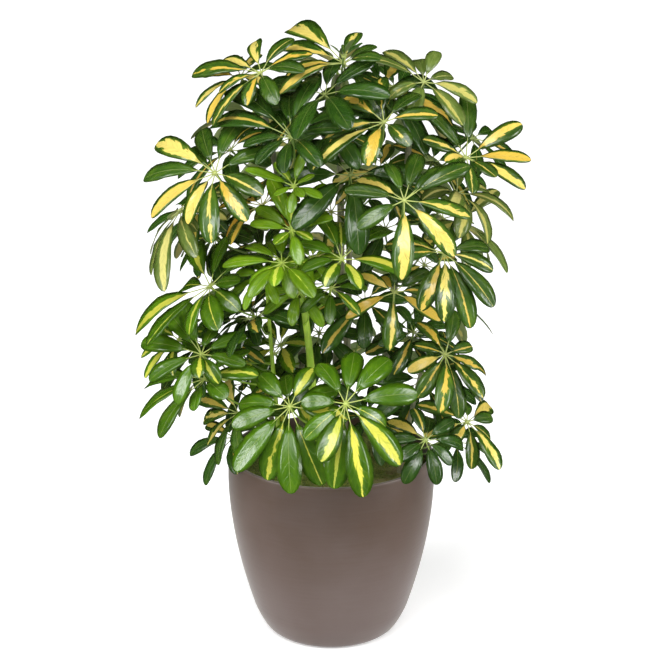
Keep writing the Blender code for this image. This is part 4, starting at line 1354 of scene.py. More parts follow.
@dataclass(frozen=True)
class BarkFinish:
    """A stem's skin: upright streaks, uneven patches and cork spots."""

    name: str
    skin: COLOUR
    streaks: COLOUR
    spots: COLOUR
    spotted: float
    roughness: float

    def build(self) -> bpy.types.Material:
        """The material, which reads the place on the stem.

        Returns:
            The finished material.
        """
        graph = Graph(self.name)
        place = graph.place()
        streaks = graph.clouds(graph.stretched(place, (1.0, 1.0, 0.16)), 260.0, 4.0)
        patches = graph.clouds(place, 28.0, 3.0)
        spots = graph.clouds(graph.stretched(place, (1.0, 1.0, 0.55)), 420.0, 1.0).eased(0.66, 0.72)
        colour = graph.mix(streaks.eased(0.38, 0.66), self.skin, self.streaks)
        colour = graph.brighter(colour, patches * 0.6 + 0.7)
        colour = graph.mix(spots * self.spotted, colour, self.spots)
        return graph.finish(
            base_color=colour,
            roughness=streaks * 0.2 + self.roughness,
            normal=graph.bump(streaks + spots * self.spotted, 0.0006, 0.6),
        )


@dataclass(frozen=True)
class PotFinish:
    """A satin painted fibre planter: soft mottling, fine runs round it, a rubbed rim and foot, and painted
    light: darker at the top as painted shade under the leaves, and paler at the foot as a painted reflection
    of the floor.
    """

    name: str
    body: COLOUR
    light: COLOUR
    rubbed: COLOUR
    rim_depth: float = 0.004
    foot_height: float = 0.012
    sheen: float = 0.52

    def build(self) -> bpy.types.Material:
        """The material, which reads the place on the planter.

        Returns:
            The finished material.
        """
        graph = Graph(self.name)
        place = graph.place()
        mottle = graph.clouds(place, 7.0, 4.0)
        runs = graph.clouds(graph.stretched(place, (0.06, 0.06, 1.0)), 260.0, 3.0)
        peel = graph.clouds(place, 900.0, 2.0)
        height = graph.add("ShaderNodeSeparateXYZ", {0: place}, 2)
        rim = height.eased(POT.height - self.rim_depth, POT.height)
        foot = 1.0 - height.eased(0.0, self.foot_height)
        worn = mottle.eased(0.3, 0.75) * 0.30 + (runs - 0.5) * 0.30
        # Painted light: the body colour at the top is painted shade under the foliage, and the paler colour
        # towards the foot is a painted reflection of the white floor. The mottling and the runs belong to
        # the surface.
        colour = graph.mix(worn + 0.85 - height.eased(0.04, 0.30) * 0.75, self.body, self.light)
        colour = graph.mix((rim + foot) * peel * 0.6, colour, self.rubbed)
        return graph.finish(
            base_color=colour,
            roughness=runs * 0.16 + mottle * 0.10 + 0.24,
            sheen_weight=self.sheen,
            sheen_roughness=0.38,
            sheen_tint=(1.0, 0.97, 0.95),
            normal=graph.bump(peel + runs * 2.0, 0.00015, 0.4),
        )


@dataclass(frozen=True)
class EarthFinish:
    """Crumbly or fibrous ground: grains between a dark and a light colour, with dry patches."""

    name: str
    dark: COLOUR
    light: COLOUR
    dry: COLOUR
    grain: float
    relief: float

    def build(self) -> bpy.types.Material:
        """The material, which reads the place on the ground.

        Returns:
            The finished material.
        """
        graph = Graph(self.name)
        place = graph.place()
        lumps = graph.clouds(place, self.grain, 5.0, 0.65)
        patches = graph.clouds(place, 26.0, 2.0)
        colour = graph.mix(lumps.eased(0.35, 0.65), self.dark, self.light)
        colour = graph.mix(patches.eased(0.50, 0.68) * 0.7, colour, self.dry)
        return graph.finish(
            base_color=colour,
            roughness=lumps * 0.15 + 0.8,
            normal=graph.bump(lumps, self.relief, 0.9),
        )


@dataclass(frozen=True)
class FloorFinish:
    """A plain pale studio floor, a little uneven in tone."""

    name: str
    pale: COLOUR
    paler: COLOUR
    glow: float = 0.30

    def build(self) -> bpy.types.Material:
        """The material, which reads the place on the floor.

        Returns:
            The finished material.
        """
        graph = Graph(self.name)
        clouds = graph.clouds(graph.place(), 1.5, 2.0)
        return graph.finish(
            base_color=graph.mix(clouds, self.pale, self.paler),
            roughness=0.8,
            emission_color=(1.0, 1.0, 1.0),
            emission_strength=self.glow,
        )


LEAF_FINISHES = {
    Tint.GOLD: LeafFinish(
        "gold_leaf", green=(0.026, 0.070, 0.006), lime=(0.110, 0.190, 0.012), yellow=(0.700, 0.580, 0.140),
        ripe=(0.640, 0.420, 0.050), under=(0.150, 0.200, 0.055), stalk=(0.400, 0.460, 0.130),
        petiole=(0.120, 0.190, 0.030)),
    # The dark colouring is the gold one darkened all over, yellow and stalks too. It gives a darker green
    # leaf, with painted shade for leaves that sit in shade inside the plant.
    Tint.DARK: LeafFinish(
        "dark_leaf", green=(0.018, 0.056, 0.005), lime=(0.060, 0.130, 0.010), yellow=(0.560, 0.440, 0.080),
        ripe=(0.480, 0.300, 0.040), under=(0.120, 0.175, 0.050), stalk=(0.300, 0.370, 0.100),
        petiole=(0.100, 0.170, 0.026)),
    Tint.FRESH: LeafFinish(
        "fresh_leaf", green=(0.040, 0.108, 0.002), lime=(0.115, 0.230, 0.004), yellow=(0.400, 0.460, 0.050),
        ripe=(0.600, 0.560, 0.060), under=(0.230, 0.330, 0.070), stalk=(0.400, 0.480, 0.110),
        petiole=(0.180, 0.300, 0.020)),
    Tint.PALE: LeafFinish(
        "young_leaf", green=(0.098, 0.208, 0.004), lime=(0.225, 0.370, 0.007), yellow=(0.560, 0.620, 0.080),
        ripe=(0.480, 0.560, 0.060), under=(0.280, 0.400, 0.080), stalk=(0.380, 0.500, 0.080),
        petiole=(0.220, 0.380, 0.020)),
    Tint.OLIVE: LeafFinish(
        "olive_leaf", green=(0.075, 0.120, 0.018), lime=(0.210, 0.260, 0.060), yellow=(0.560, 0.520, 0.160),
        ripe=(0.420, 0.380, 0.080), under=(0.260, 0.320, 0.100), stalk=(0.380, 0.430, 0.140),
        petiole=(0.140, 0.210, 0.040)),
    Tint.AMBER: LeafFinish(
        "amber_leaf", green=(0.040, 0.070, 0.006), lime=(0.160, 0.180, 0.012), yellow=(0.640, 0.420, 0.050),
        ripe=(0.520, 0.250, 0.020), under=(0.190, 0.210, 0.055), stalk=(0.420, 0.420, 0.110),
        petiole=(0.130, 0.180, 0.028)),
}
BARK_FINISHES = {
    Bark.WOODY: BarkFinish("grey_bark", skin=(0.120, 0.135, 0.070), streaks=(0.230, 0.220, 0.130),
                           spots=(0.360, 0.310, 0.200), spotted=0.8, roughness=0.62),
    Bark.SHOOT: BarkFinish("green_shoot", skin=(0.230, 0.400, 0.020), streaks=(0.340, 0.500, 0.040),
                           spots=(0.480, 0.520, 0.160), spotted=0.4, roughness=0.36),
}
# body is the darker colour that the top takes as painted shade, and light is the paler colour that the foot
# takes as a painted floor reflection. Both also carry the mottling.
POT_FINISH = PotFinish("taupe_satin", body=(0.072, 0.042, 0.027), light=(0.122, 0.090, 0.080),
                       rubbed=(0.200, 0.170, 0.155))
MOSS_FINISH = EarthFinish("moss", dark=(0.060, 0.085, 0.014), light=(0.250, 0.290, 0.050),
                          dry=(0.240, 0.190, 0.080), grain=420.0, relief=0.0020)
SOIL_FINISH = EarthFinish("potting_soil", dark=(0.022, 0.014, 0.010), light=(0.060, 0.038, 0.024),
                          dry=(0.110, 0.080, 0.055), grain=260.0, relief=0.0030)
FLOOR_FINISH = FloorFinish("studio_floor", pale=(0.90, 0.90, 0.90), paler=(0.93, 0.93, 0.93))


# ---------------------------------------------------------------- modelling


class Sheet:
    """A grid of faces that a formula bends into a blade or rolls into a tube."""

    def __init__(self, shape: bmesh.types.BMesh, columns: int, rows: int) -> None:
        """Add a flat grid to a shape, mapped from 0 to 1 across and along.

        Args:
            shape: The shape that the grid is added to.
            columns: How many faces it has across.
            rows: How many it has along.
        """
        self.shape = shape
        self.map = shape.loops.layers.uv["leaf"]
        made = bmesh.ops.create_grid(shape, x_segments=columns, y_segments=rows, size=1.0)
        self.verts = made["verts"]
        self.faces = list({face for vert in self.verts for face in vert.link_faces})
        self.flat = {vert: (vert.co.x, (vert.co.y + 1) / 2) for vert in self.verts}
        for face in self.faces:
            face.smooth = True
            for loop in face.loops:
                across, along = self.flat[loop.vert]
                loop[self.map].uv = ((across + 1) / 2, along)

    def bend(self, formula: Callable[[float, float], Vector]) -> None:
        """Move each point to where the formula puts it, from -1..1 across and 0..1 along."""
        for vert in self.verts:
            vert.co = formula(*self.flat[vert])

    def mark(self, **numbers: float) -> None:
        """Write numbers on the faces, each under its own name."""
        for name, number in numbers.items():
            layer = self.shape.faces.layers.float[name]
            for face in self.faces:
                face[layer] = number

    def turn_over(self) -> None:
        """Face the other way."""
        bmesh.ops.reverse_faces(self.shape, faces=self.faces)


def new_shape() -> bmesh.types.BMesh:
    """An empty mesh with the map and the numbers that leaves carry.

    Returns:
        The empty mesh.
    """
    shape = bmesh.new()
    shape.loops.layers.uv.new("leaf")
    for name in ("seed", "streak", "role"):
        shape.faces.layers.float.new(name)
    return shape


def smoothed(points: Sequence[Vector], rounds: int) -> list[Vector]:
    """A path with its corners cut again and again, between the same two ends.

    Args:
        points: The path's corners.
        rounds: How many times the corners are cut.

    Returns:
        The points of the smoother path.
    """
    path = [Vector(point) for point in points]
    for _ in range(rounds):
        cut = [path[0]]
        for first, second in zip(path, path[1:]):
            cut += [first.lerp(second, 0.25), first.lerp(second, 0.75)]
        path = cut[:1] + cut[2:-1] + [path[-1]]
    return path


def roll_tube(sheet: Sheet, path: Sequence[Vector], radii: Sequence[float]) -> None:
    """Roll a sheet into a round tube along a path, closed to a point at both ends.

    Args:
        sheet: The sheet, with one row of points for each point of the path.
        path: The points along the tube's middle.
        radii: The tube's radius at each of them.
    """
    steady = (path[-1] - path[0]).orthogonal().normalized()
    rings = []
    for k, middle in enumerate(path):
        along = (path[min(k + 1, len(path) - 1)] - path[max(k - 1, 0)]).normalized()
        steady = (steady - along * steady.dot(along)).normalized()
        rings.append((middle, steady.copy(), along.cross(steady), radii[k]))

    def rolled(across: float, along: float) -> Vector:
        """A point on the tube."""
        middle, first, second, radius = rings[round(along * (len(rings) - 1))]
        return middle + (first * cos(across * pi) + second * sin(across * pi)) * radius

    sheet.bend(rolled)
    bmesh.ops.remove_doubles(sheet.shape, verts=sheet.verts, dist=POLE_MERGE)


def add_piece(name: str, shape: bmesh.types.BMesh, material: bpy.types.Material) -> bpy.types.Object:
    """Make an object of a finished shape, with its faces pointing outwards.

    Args:
        name: The piece's name.
        shape: Its shape, which is freed.
        material: The material of the finished piece.

    Returns:
        The piece, linked to the scene.
    """
    bmesh.ops.recalc_face_normals(shape, faces=shape.faces)
    mesh = bpy.data.meshes.new(name)
    shape.to_mesh(mesh)
    shape.free()
    mesh.materials.append(material)
    piece = bpy.data.objects.new(name, mesh)
    bpy.context.scene.collection.objects.link(piece)
    return piece


@dataclass(frozen=True)
class StalkShape:
    """The leafstalk, the hub and the leaflets' own stalks: sizes, and shares of the hub's radius."""

    sides: int = 10
    rounds: int = 3
    clasp: float = 0.0001
    flare: float = 2.2
    swell_length: float = 0.012
    swell: float = 0.0009
    hub_section: tuple[PAIR, ...] = (
        (-1.0, 0.0), (-0.9, 0.62), (-0.3, 0.80), (0.3, 0.78), (0.8, 0.48), (1.0, 0.0))
    stalklet_sides: int = 5
    stalklet_steps: int = 5
    stalklet_from: float = 0.4
    stalklet_bunched: float = 1.2
    stalklet_swell_to: float = 2.4
    stalklet_radius: float = 0.00085
    stalklet_swell: float = 0.0005
    into_blade: float = 0.22
    fades: float = 0.8
    below_blade: float = 0.0004
    sinks: float = 0.0005


@dataclass(frozen=True)
class BladeShape:
    """How finely a blade is modelled, its outline, and how it waves."""

    columns: int = 4
    rows: int = 9
    closer_rows: float = 0.5
    widest: float = 0.63
    wedge: float = 0.92
    blunt: float = 0.54
    thickness: float = 0.00055
    wave: float = 0.0011
    wave_range: PAIR = (0.6, 1.4)
    wave_count: PAIR = (1.2, 2.4)
    full_wave_length: float = 0.07
    droop: float = 0.10
    ridge: float = 0.0012
    root: float = 0.0007
    calm_tip: float = 1.15
    rim_power: int = 6
    rim_taper: float = 9

    def spaced(self, along: float) -> float:
        """Rows drawn closer together towards the tip."""
        return along * (1 + self.closer_rows - self.closer_rows * along * along)

    def half(self, share: float) -> float:
        """The outline: 0 at both ends and 1 at the widest place, wedge-shaped at the stalk."""
        top = self.widest**self.wedge * (1 - self.widest) ** self.blunt
        return share**self.wedge * (1 - share) ** self.blunt / top


class LeafBuilder:
    """Builds a whole leaf: leafstalk, hub, stalklets and blades, as one piece."""

    def __init__(self, placed: PlacedLeaf) -> None:
        """Start the piece for a leaf in its place.

        Args:
            placed: The leaf's name, stalk and leaflets.
        """
        self.placed = placed
        self.blade = BladeShape()
        self.stalk = StalkShape()
        self.draw = random.Random(placed.name + " looks")
        self.shape = new_shape()

    def add_petiole(self) -> None:
        """The leafstalk: clasps the stem at its foot and swells into the hub."""
        form = self.stalk
        path = smoothed(self.placed.path, form.rounds)
        start = path[0] - (path[1] - path[0]).normalized() * (SIZES.foot_gap - form.clasp)
        path = [start] + path
        radii = []
        for point in path:
            flare = max(0.0, 1.0 - (point - start).length / (form.flare * SIZES.foot_length))
            swell = max(0.0, 1.0 - (point - path[-1]).length / form.swell_length)
            base = SIZES.petiole_radius
            radii.append(base + (SIZES.foot_radius - base) * flare + form.swell * swell * swell)
        sheet = Sheet(self.shape, form.sides, len(path) + 1)
        sheet.mark(seed=self.draw.random(), streak=0.0, role=Role.PETIOLE)
        roll_tube(sheet, [path[0]] + path + [path[-1]], [0.0] + radii + [0.0])

    def add_hub(self) -> None:
        """The knob where the stalklets meet."""
        axis = self.placed.leaf.axes()[0]
        hub = Vector(self.placed.leaf.hub)
        section = self.stalk.hub_section
        path = [hub + axis * (SIZES.hub_height * up) for up, _ in section]
        sheet = Sheet(self.shape, self.stalk.sides, len(section) - 1)
        sheet.mark(seed=self.draw.random(), streak=0.0, role=Role.STALKLET)
        roll_tube(sheet, path, [SIZES.hub_radius * out for _, out in section])

    def add_stalklet(self, leaflet: Leaflet) -> None:
        """A leaflet's own stalk: swollen at the hub, then slender into the midrib.

        Args:
            leaflet: The leaflet that it carries.
        """
        form = self.stalk
        count = form.stalklet_steps
        end = leaflet.stalk + form.into_blade * leaflet.blade
        first = form.stalklet_from * SIZES.hub_radius
        path, radii = [], []
        for k in range(count + 1):
            along = first + (end - first) * (k / count) ** form.stalklet_bunched
            middle, _, upward = leaflet.frame(along)
            inside = max(along - leaflet.stalk, 0.0) / (end - leaflet.stalk)
            swell = max(0.0, 1.0 - along / (form.stalklet_swell_to * SIZES.hub_radius))
            radii.append((form.stalklet_radius + form.stalklet_swell * swell) * (1.0 - form.fades * inside))
            path.append(middle - upward * (form.below_blade + form.sinks * inside))
        sheet = Sheet(self.shape, form.stalklet_sides, count + 2)
        sheet.mark(seed=self.draw.random(), streak=0.0, role=Role.STALKLET)
        roll_tube(sheet, [path[0]] + path + [path[-1]], [0.0] + radii + [0.0])

    def add_blade(self, leaflet: Leaflet, seed: float, streak: float) -> None:
        """A leaflet's blade: a thin closed shell, folded along its midrib and waved at its edge.

        Args:
            leaflet: Where the blade goes.
            seed: The number that sets this blade's own pattern.
            streak: How much of the blade is variegated, from 0 to 1.
        """
        form = self.blade
        phases = (self.draw.uniform(0, 2 * pi), self.draw.uniform(0, 2 * pi))
        waves = self.draw.uniform(*form.wave_count)
        tall = form.wave * self.draw.uniform(*form.wave_range)
        tall *= min(1.0, leaflet.blade / form.full_wave_length)
        rows = {}

        def row(along: float) -> tuple:
            """The frame, the half width and the share of the length at a row, worked out once.

            Args:
                along: The row's place along the sheet, from 0 to 1.

            Returns:
                The middle, side, upward direction, half width and share.
            """
            if along not in rows:
                share = form.spaced(along)
                half = form.half(share) * leaflet.half_width
                root = form.root * (1 - share)
                rows[along] = (*leaflet.frame(leaflet.stalk + share * leaflet.blade), half + root, share)
            return rows[along]

        def surface(across: float, along: float, lower: bool) -> Vector:
            """A point on the top, or on the underside below it.

            Args:
                across: The place across, from -1 to 1.
                along: The place along, from 0 to 1.
                lower: Whether it is the underside's.

            Returns:
                The point.
            """
            middle, side, upward, half, share = row(along)
            out = across * half
            arch = sqrt(out * out + form.ridge**2) - form.ridge
            lifted = leaflet.fold * arch - form.droop * out * out / leaflet.half_width
            edge = phases[across > 0] + 2 * pi * waves * share
            lifted += tall * across * across * sin(edge) * sin(pi * min(share * form.calm_tip, 1.0))
            if lower:
                rim = (1 - across**form.rim_power) * min(1.0, form.rim_taper * share * (1 - share))
                lifted -= form.thickness * rim
            return middle + side * out + upward * lifted

        top = Sheet(self.shape, form.columns, form.rows)
        top.bend(lambda across, along: surface(across, along, False))
        top.mark(seed=seed, streak=streak, role=Role.TOP)
        under = Sheet(self.shape, form.columns, form.rows)
        under.bend(lambda across, along: surface(across, along, True))
        under.mark(seed=seed, streak=streak, role=Role.UNDERSIDE)
        under.turn_over()
        for edge in {edge for vert in top.verts for edge in vert.link_edges if edge.is_boundary}:
            edge.smooth = False
        bmesh.ops.remove_doubles(self.shape, verts=top.verts + under.verts, dist=SEAM_MERGE)

    def streaks(self) -> list[float]:
        """How yellow each blade is: as the table says, or else drawn by the leaf's colouring.

        Returns:
            A number from 0, plain green, to 1 for each leaflet.
        """
        yellowing = YELLOWINGS[self.placed.tint]
        known = YELLOW.get(self.placed.name, ())
        found = []
        for leaflet in self.placed.leaflets:
            strength = self.draw.uniform(yellowing.low, yellowing.high)
            drawn = 0.0 if self.draw.random() < yellowing.plain else strength
            found.append(known[leaflet.number] if 0 <= leaflet.number < len(known) else drawn)
        return found

    def build(self, material: bpy.types.Material) -> bpy.types.Object:
        """The whole leaf as one piece.

        Args:
            material: The material of the finished piece.

        Returns:
            The finished piece.
        """
        self.add_petiole()
        self.add_hub()
        for leaflet, streak in zip(self.placed.leaflets, self.streaks()):
            self.add_stalklet(leaflet)
            self.add_blade(leaflet, self.draw.random(), streak)
        return add_piece(self.placed.name.replace("leaf", "umbrella"), self.shape, material)


@dataclass(frozen=True)
class StemBuilder:
    """Builds a stem: a knobbly tube with a scar at each old leaf and a bud at its tip."""

    stem: Stem
    sides: int = 16
    step: float = 0.006
    node_spacing: float = 0.034
    slimmer: float = 0.965
    scar: float = 0.07
    scar_reach: float = 0.16
    uneven: float = 0.025
    uneven_scale: float = 60
    bud: tuple[PAIR, ...] = ((0.55, 0.84), (0.9, 0.42), (1.0, 0.0))

    def build(self, material: bpy.types.Material) -> bpy.types.Object:
        """The stem as one piece.

        Args:
            material: The material of the finished piece.

        Returns:
            The finished piece.
        """
        offset = random.Random(self.stem.name + " bark").uniform(0, 1)
        low = self.stem.heights()[0]
        high = self.stem.tip[2]
        count = ceil((high - low) / self.step)
        path, radii = [], []
        for k in range(count + 1):
            z = low + (high - low) * k / count
            path.append(self.stem.at(z))
            turn = ((z / self.node_spacing) + offset) % 1.0
            scar = max(0.0, 1.0 - abs(turn - 0.5) / self.scar_reach)
            uneven = noise.noise(Vector((z * self.uneven_scale, offset * 9, 0.0)))
            radii.append(self.stem.radius_at(z)
                         * (self.slimmer + self.scar * scar * scar + self.uneven * uneven))
        rise = (path[-1] - path[-2]).normalized()
        tip, cap = path[-1], radii[-1]
        path = [path[0]] + path + [tip + rise * (up * cap) for up, _ in self.bud]
        radii = [0.0] + radii + [out * cap for _, out in self.bud]
        shape = new_shape()
        roll_tube(Sheet(shape, self.sides, len(path) - 1), path, radii)
        return add_piece(f"trunk_{self.stem.name}", shape, material)


@dataclass(frozen=True)
class PlanterBuilder:
    """Builds the planter: a profile of rim, belly, taper and rounded lower edge, spun round."""

    steps: int = 128
    inside: tuple[float, ...] = (0.05, 0.12, 0.20, 0.275)
    outside_from: float = 0.30
    outside_step: float = 0.015
    outside_rows: int = 17
    lip: tuple[PAIR, ...] = ((0.0, 0.0022), (0.0008, 0.0004), (0.0028, 0.0))
    edge_from: PAIR = (0.97, 0.92)
    edge_to: PAIR = (0.18, 0.04)
    flat: float = 0.004

    def profile(self) -> list[Vector]:
        """The section from the middle of the inside floor, over the rim, to the middle of the base.

        Returns:
            The points of the section, at +X.
        """
        foot = POT.radius(POT.edge_height)
        inner = [(0.0, POT.floor), (POT.inner_radius(POT.floor), POT.floor)]
        inner += [(POT.inner_radius(z), z) for z in self.inside]
        rim = [(POT.rim_radius - POT.wall + out, POT.height - down) for out, down in self.lip]
        rim += [(POT.rim_radius - out, POT.height - down) for out, down in reversed(self.lip)]
        heights = [self.outside_from - self.outside_step * k for k in range(self.outside_rows)]
        outer = [(POT.radius(z), z) for z in heights]
        edge = [(POT.base_radius + out * (foot - POT.base_radius), up * POT.edge_height)
                for out, up in (self.edge_from, *POT.edge, self.edge_to)]
        corners = inner + rim + outer + edge + [(POT.base_radius - self.flat, 0.0), (0.0, 0.0)]
        return smoothed([Vector((x, 0.0, z)) for x, z in corners], 1)

    def build(self, material: bpy.types.Material) -> bpy.types.Object:
        """The planter as one piece.

        Args:
            material: The material of the finished piece.

        Returns:
            The finished piece.
        """
        shape = bmesh.new()
        points = [shape.verts.new(point) for point in self.profile()]
        edges = [shape.edges.new(pair) for pair in zip(points, points[1:])]
        bmesh.ops.spin(
            shape, geom=points + edges, cent=(0, 0, 0), axis=(0, 0, 1), dvec=(0, 0, 0),
            angle=2 * pi, steps=self.steps, use_merge=True, use_duplicate=False,
        )
        bmesh.ops.remove_doubles(shape, verts=shape.verts, dist=SEAM_MERGE)
        for face in shape.faces:
            face.smooth = True
        return add_piece("planter_shell", shape, material)


@dataclass(frozen=True)
class MossBuilder:
    """Builds the moss: a lumpy mat on the soil, with small upright strands all over it."""

    rings: int = 26
    sides: int = 96
    edge_thickness: float = 0.25
    edge_width: float = 0.012
    lumps: float = 0.004
    lump_scale: float = 34
    crumbs: float = 0.002
    crumb_scale: float = 120
    underside_inset: float = 0.002
    tufts: int = 1000
    strands: int = 5
    strand_length: float = 0.008
    strand_range: PAIR = (0.5, 1.1)
    strand_width: float = 0.0007
    strand_lean: float = 0.6
    strand_depth: float = 0.002
    tuft_spread: float = 0.003
    tuft_inset: float = 0.001

    def top(self, x: float, y: float) -> float:
        """The mat's height at a place.

        Args:
            x: The place to the right of the middle.
            y: The place behind the middle.

        Returns:
            The height of the mat's surface there.
        """
        broad = noise.noise(Vector((x * self.lump_scale, y * self.lump_scale, 0.3)))
        small = noise.noise(Vector((x * self.crumb_scale, y * self.crumb_scale, 1.7)))
        rounded = sqrt(max(min(1.0, (GROUND.moss_radius - hypot(x, y)) / self.edge_width), 0.0))
        thick = GROUND.moss_thickness * (self.edge_thickness + (1 - self.edge_thickness) * rounded)
        return GROUND.top + GAP + thick + self.lumps * broad + self.crumbs * small

    def add_mat(self, shape: bmesh.types.BMesh) -> None:
        """The mat itself, closed underneath.

        Args:
            shape: The shape that the mat is added to.
        """
        low = GROUND.top + GAP
        radii = [GROUND.moss_radius * k / self.rings for k in range(self.rings + 1)]
        sheet = Sheet(shape, self.sides, self.rings + 2)

        def placed(across: float, along: float) -> Vector:
            """A point on the mat's top, or on its flat underside.

            Args:
                across: The place round the mat, from -1 to 1.
                along: The place from its middle to its underside, from 0 to 1.

            Returns:
                The point.
            """
            row = round(along * (self.rings + 2))
            under = (radii[-1] - self.underside_inset) * (self.rings + 2 - row)
            radius = radii[row] if row <= self.rings else under
            x, y = radius * cos(across * pi), radius * sin(across * pi)
            return Vector((x, y, self.top(x, y) if row <= self.rings else low))

        sheet.bend(placed)
        bmesh.ops.remove_doubles(shape, verts=sheet.verts, dist=POLE_MERGE)

    def add_strand(self, shape: bmesh.types.BMesh, foot: Vector, lean: Vector) -> None:
        """One strand: a slim three-sided spike that leans from its foot.

        Args:
            shape: The mesh of all the strands.
            foot: Where the strand stands in the mat.
            lean: The way from its foot to its tip.
        """
        made = bmesh.ops.create_cone(
            shape, cap_ends=True, segments=3, radius1=self.strand_width, radius2=0.0, depth=1.0)
        for vert in made["verts"]:
            flat = Vector((vert.co.x, vert.co.y, 0.0))
            vert.co = foot + flat + lean * (vert.co.z + 0.5)

    def add_tuft(self, shape: bmesh.types.BMesh, draw: random.Random) -> None:
        """A few strands that stand close together somewhere on the mat.

        Args:
            shape: The mesh of all the strands.
            draw: The seeded draws.
        """
        radius = (GROUND.moss_radius - self.tuft_inset) * sqrt(draw.random())
        angle = draw.uniform(0, 2 * pi)
        x, y = radius * cos(angle), radius * sin(angle)
        middle = Vector((x, y, self.top(x, y) - self.strand_depth))
        spread, lean = self.tuft_spread, self.strand_lean
        for _ in range(self.strands):
            foot = middle + Vector((draw.uniform(-spread, spread), draw.uniform(-spread, spread), 0.0))
            way = Vector((draw.uniform(-lean, lean), draw.uniform(-lean, lean), 1.0)).normalized()
            self.add_strand(shape, foot, way * (self.strand_length * draw.uniform(*self.strand_range)))

    def build(self, material: bpy.types.Material) -> bpy.types.Object:
        """The moss as one piece.

        Args:
            material: The material of the finished piece.

        Returns:
            The finished piece.
        """
        draw = random.Random("moss strands")
        shape = new_shape()
        self.add_mat(shape)
        strands = bmesh.new()
        for _ in range(self.tufts):
            self.add_tuft(strands, draw)
        mesh = bpy.data.meshes.new("strands")
        strands.to_mesh(mesh)
        strands.free()
        shape.from_mesh(mesh)
        bpy.data.meshes.remove(mesh)
        return add_piece("moss_mat", shape, material)


# ---------------------------------------------------------------- the studio


LAMP_AIM = (0.0, 0.0, 0.6)


@dataclass(frozen=True)
class Lamp:
    """A soft box that looks at the plant: where it stands, its size and its power."""

    name: str
    place: POINT
    width: float
    height: float
    power: float

    def build(self) -> None:
        """Hang the lamp."""
        light = bpy.data.lights.new(self.name, "AREA")
        light.shape = "RECTANGLE"
        light.size = self.width
        light.size_y = self.height
        light.energy = self.power
        lamp = bpy.data.objects.new(self.name, light)
        aim = Vector(LAMP_AIM) - Vector(self.place)
        turned = aim.to_track_quat("-Z", "Y").to_matrix().to_4x4()
        lamp.matrix_world = Matrix.Translation(self.place) @ turned
        bpy.context.scene.collection.objects.link(lamp)


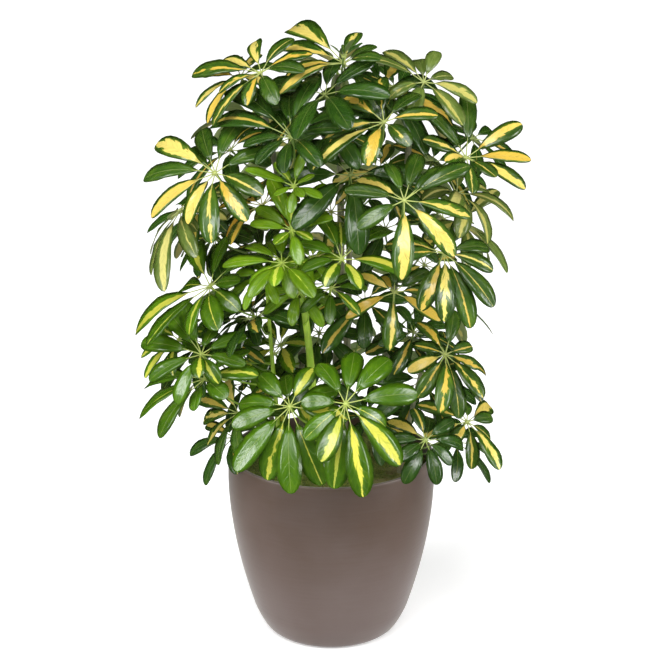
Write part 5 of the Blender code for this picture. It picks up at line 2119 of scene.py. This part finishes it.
@dataclass(frozen=True)
class Studio:
    """The pale floor, the soft light and the camera."""

    eye: POINT = (0.0, -2.70, 1.37)
    pitch: float = 0.3032
    lens: float = 91.2
    shift: float = 0.0049
    sky: float = 0.18
    sun_power: float = 1.6
    sun_spread: float = 32.0
    sun_from: POINT = (-0.25, -0.55, 1.0)
    floor_faces: int = 48
    floor_reach: float = 24.0
    cove_from: float = 9.0
    cove_rise: float = 0.06
    lamps: tuple[Lamp, ...] = (
        Lamp("left_box", (-2.3, -1.3, 1.7), width=0.7, height=1.8, power=48.0),
        Lamp("right_box", (2.4, -1.0, 1.5), width=0.7, height=1.8, power=48.0),
        Lamp("front_box", (0.5, -2.0, 2.8), width=0.9, height=0.9, power=22.0),
    )

    def build(self) -> None:
        """Set up everything round the plant."""
        bpy.context.scene.view_settings.view_transform = "Standard"
        self.add_floor()
        for lamp in self.lamps:
            lamp.build()
        self.add_sun()
        self.add_sky()
        self.add_camera()

    def add_sun(self) -> None:
        """A wide, weak sun from the upper left."""
        light = bpy.data.lights.new("sun", "SUN")
        light.energy = self.sun_power
        light.angle = radians(self.sun_spread)
        sun = bpy.data.objects.new("sun", light)
        sun.rotation_mode = "QUATERNION"
        sun.rotation_quaternion = Vector(self.sun_from).to_track_quat("Z", "Y")
        bpy.context.scene.collection.objects.link(sun)

    def add_sky(self) -> None:
        """An even white surround, which doesn't show in reflections."""
        world = bpy.data.worlds.new("studio")
        world.use_nodes = True
        background = world.node_tree.nodes["Background"]
        background.inputs["Color"].default_value = (1.0, 1.0, 1.0, 1.0)
        background.inputs["Strength"].default_value = self.sky
        bpy.context.scene.world = world
        world.cycles_visibility.glossy = False

    def add_camera(self) -> None:
        """The camera, a little above the plant's middle and tilted down at it."""
        camera = bpy.data.cameras.new("camera")
        camera.sensor_width = 36.0
        camera.lens = self.lens
        camera.shift_x = self.shift
        eye = bpy.data.objects.new("camera", camera)
        eye.location = self.eye
        eye.rotation_euler = (pi / 2 - self.pitch, 0.0, 0.0)
        bpy.context.scene.collection.objects.link(eye)
        bpy.context.scene.camera = eye

    def add_floor(self) -> None:
        """A wide flat floor that the planter stands on, with a cove that rises far away all round."""
        shape = bmesh.new()
        grid = bmesh.ops.create_grid(
            shape, x_segments=self.floor_faces, y_segments=self.floor_faces, size=self.floor_reach)
        for vert in grid["verts"]:
            past = max(hypot(vert.co.x, vert.co.y) - self.cove_from, 0.0)
            vert.co.z = self.cove_rise * past * past
        for face in shape.faces:
            face.smooth = True
        floor = add_piece("floor", shape, FLOOR_FINISH.build())
        if floor.data.polygons[0].normal.z < 0:
            floor.data.flip_normals()
        floor.visible_glossy = False


# ---------------------------------------------------------------- the whole plant


SLOTS = {
    Tint.GOLD: "leaf_variegated",
    Tint.DARK: "leaf_dark",
    Tint.FRESH: "leaf_fresh",
    Tint.PALE: "leaf_young",
    Tint.OLIVE: "leaf_variegated",
    Tint.AMBER: "leaf_variegated",
}
STEM_SLOTS = {Bark.WOODY: "bark", Bark.SHOOT: "green_stem"}


def settle(piece: bpy.types.Object, node: str, slot: str) -> None:
    """Let a piece stand for a node of the frame, or only ride on it where there is no such node.

    Args:
        piece: The finished piece.
        node: The node's name.
        slot: The record's material slot for the piece: not used.
    """
    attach(piece, "root")
    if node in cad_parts:
        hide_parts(node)
    LOG.info("%s stands for %s: %d faces", piece.name, node, len(piece.data.polygons))


def finish_soil() -> None:
    """Give the frame's own soil its finish: its shape is right as it is."""
    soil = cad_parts["soil"]
    soil.data.materials.clear()
    soil.data.materials.append(SOIL_FINISH.build())
    LOG.info("soil keeps its own solid")


def main() -> None:
    """Build the looks in order, from the planter up to the leaves, and then the studio."""
    settle(PlanterBuilder().build(POT_FINISH.build()), "planter", "planter")
    finish_soil()
    settle(MossBuilder().build(MOSS_FINISH.build()), "moss", "moss")
    barks = {bark: finish.build() for bark, finish in BARK_FINISHES.items()}
    for stem in STEMS:
        piece = StemBuilder(stem).build(barks[stem.bark])
        settle(piece, f"stem_{stem.name}", STEM_SLOTS[stem.bark])
    greens = {tint: finish.build() for tint, finish in LEAF_FINISHES.items()}
    for placed in lay_out():
        settle(LeafBuilder(placed).build(greens[placed.tint]), placed.name, SLOTS[placed.tint])
    Studio().build()


if __name__ == "__main__":
    main()
